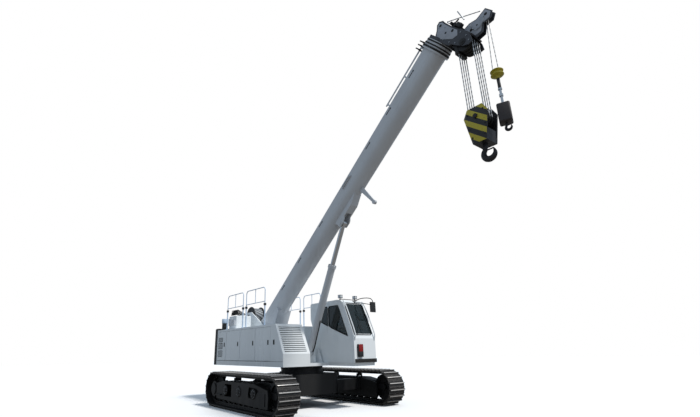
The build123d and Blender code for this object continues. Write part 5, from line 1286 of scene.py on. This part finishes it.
@dataclass
class Studio:
    """Floor, light, white background and the camera at the original viewing angle."""

    place: Point = (12.865, -9.029, 1.849)
    yaw: float = 143.245
    pitch: float = 18.245
    roll: float = -0.939
    lens: float = 20.34
    shift: tuple[float, float] = (0.0548, 0.0175)
    sun_strength: float = 3.0
    sun_azimuth: float = 20.0
    sun_height: float = 55.0
    sky_strength: float = 0.60
    floor_size: float = 160.0

    def camera(self) -> None:
        """Add the camera and make it the scene's own."""
        yaw, pitch, roll = (math.radians(a) for a in (self.yaw, self.pitch, self.roll))
        forward = Vector((math.cos(pitch) * math.cos(yaw), math.cos(pitch) * math.sin(yaw), math.sin(pitch)))
        level = forward.cross(Vector((0, 0, 1))).normalized()
        above = level.cross(forward)
        right = math.cos(roll) * level + math.sin(roll) * above
        up = -math.sin(roll) * level + math.cos(roll) * above
        data = bpy.data.cameras.new("camera")
        data.lens = self.lens
        data.sensor_width = 36.0
        data.shift_x, data.shift_y = self.shift
        data.clip_end = 200.0
        camera = bpy.data.objects.new("camera", data)
        turned = Matrix((right, up, -forward)).transposed().to_4x4()
        camera.matrix_world = Matrix.Translation(self.place) @ turned
        bpy.context.scene.collection.objects.link(camera)
        bpy.context.scene.camera = camera

    def light(self) -> None:
        """Add the soft sun and the pale sky, which the camera sees as plain white."""
        data = bpy.data.lights.new("sun", "SUN")
        data.energy = self.sun_strength
        data.angle = math.radians(9.0)
        data.color = (1.0, 0.97, 0.93)
        sun = bpy.data.objects.new("sun", data)
        azimuth, height = math.radians(self.sun_azimuth), math.radians(self.sun_height)
        towards = Vector((math.cos(height) * math.cos(azimuth), math.cos(height) * math.sin(azimuth),
                          math.sin(height)))
        sun.matrix_world = towards.to_track_quat("Z", "Y").to_matrix().to_4x4()
        bpy.context.scene.collection.objects.link(sun)
        world = bpy.data.worlds.new("studio")
        world.use_nodes = True
        bpy.context.scene.world = world
        tree = world.node_tree
        path = add_node(tree, "ShaderNodeLightPath")
        ambient = tree.nodes["Background"]
        ambient.inputs["Color"].default_value = (0.62, 0.74, 0.88, 1.0)
        ambient.inputs["Strength"].default_value = self.sky_strength
        white = add_node(tree, "ShaderNodeBackground", {"Color": (1.0, 1.0, 1.0, 1.0), "Strength": 1.0})
        seen = add_node(tree, "ShaderNodeMixShader", {
            0: path.outputs["Is Camera Ray"],
            1: ambient.outputs["Background"],
            2: white.outputs["Background"]})
        tree.links.new(seen.outputs["Shader"], tree.nodes["World Output"].inputs["Surface"])

    def floor(self) -> None:
        """Add the pale floor."""
        bpy.ops.mesh.primitive_plane_add(size=self.floor_size, location=(0.0, 0.0, -0.002))
        floor = bpy.context.object
        floor.name = "floor"
        material = Finish("studio_floor", "#f6f7f8", "#eef0f1", share=0.1, patch_mm=4000, grain_mm=200,
                          grain=0.0, roughness=0.9).build()
        tree = material.node_tree
        shader = tree.nodes["Principled BSDF"]
        shown = shader.inputs["Base Color"].links[0].from_socket
        path = add_node(tree, "ShaderNodeLightPath")
        mixed = add_node(tree, "ShaderNodeMix", {
            "Factor": path.outputs["Is Camera Ray"], "A": linear("#77736e"), "B": shown}, data_type="RGBA")
        tree.links.new(mixed.outputs["Result"], shader.inputs["Base Color"])
        floor.data.materials.append(material)

    def build(self) -> None:
        """Set up the whole studio."""
        bpy.context.scene.view_settings.view_transform = "Standard"
        self.camera()
        self.light()
        self.floor()


NODE_FINISHES = {
    TRACK_STEEL: ("track_left", "track_right"),
    WORN_BLACK: ("idlers", "drive_sprockets", "head_sheaves", "block_sheaves", "runner_sheave"),
    CHASSIS_BLACK: ("track_frame_left", "track_frame_right", "track_rollers", "car_body", "slew_race"),
    BALLAST_BLACK: ("counterweight",),
    ENGINE_GREY: ("engine_block",),
    HEAD_GREY: ("boom_tip",),
    SHADED_BOOM_ENAMEL: ("boom_base", "boom_second", "boom_third", "cylinder_barrel"),
    MOULDED: ("exhaust", "rail_clamps", "lamps", "mirror", "winch_main", "winch_aux"),
    TRIM_GREY: ("cab_controls",),
    SEAT_CLOTH: ("cab_seat",),
    FORGED_STEEL: ("main_hook", "aux_hook", "main_block"),
    SKY_LIT_RAIL_ENAMEL: ("guard_rails",),
    WEIGHT_PAINT: ("aux_block",),
    ROPE: ("main_falls", "aux_line"),
    CHROME: ("cylinder_rod",),
}


def paint_frame(shop: Workshop) -> None:
    """Give every CAD node its finish: by name first, then panes, pins, and enamel for the rest."""
    named = {name: finish for finish, names in NODE_FINISHES.items() for name in names}
    for name in shop.nodes:
        if name in named:
            finish = named[name]
        elif "glass" in name:
            finish = CAB_GLASS
        elif "pin" in name or "piston" in name:
            finish = ZINC
        else:
            finish = WHITE_ENAMEL
        shop.paint_node(finish, name)
        LOG.info("%s is painted %s", name, finish.name)


def main() -> None:
    """Build the whole scene in order."""
    logging.basicConfig(level=logging.INFO, format="%(message)s")
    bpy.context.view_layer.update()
    shop = Workshop(frame["nodes"])
    paint_frame(shop)
    for assembly in (Undercarriage(shop), Housing(shop), Cab(shop), BoomDress(shop), HeadDress(shop),
                     Blocks(shop), Winches(shop), Ram(shop), Studio()):
        LOG.info("building %s", type(assembly).__name__)
        assembly.build()


if __name__ == "__main__":
    main()
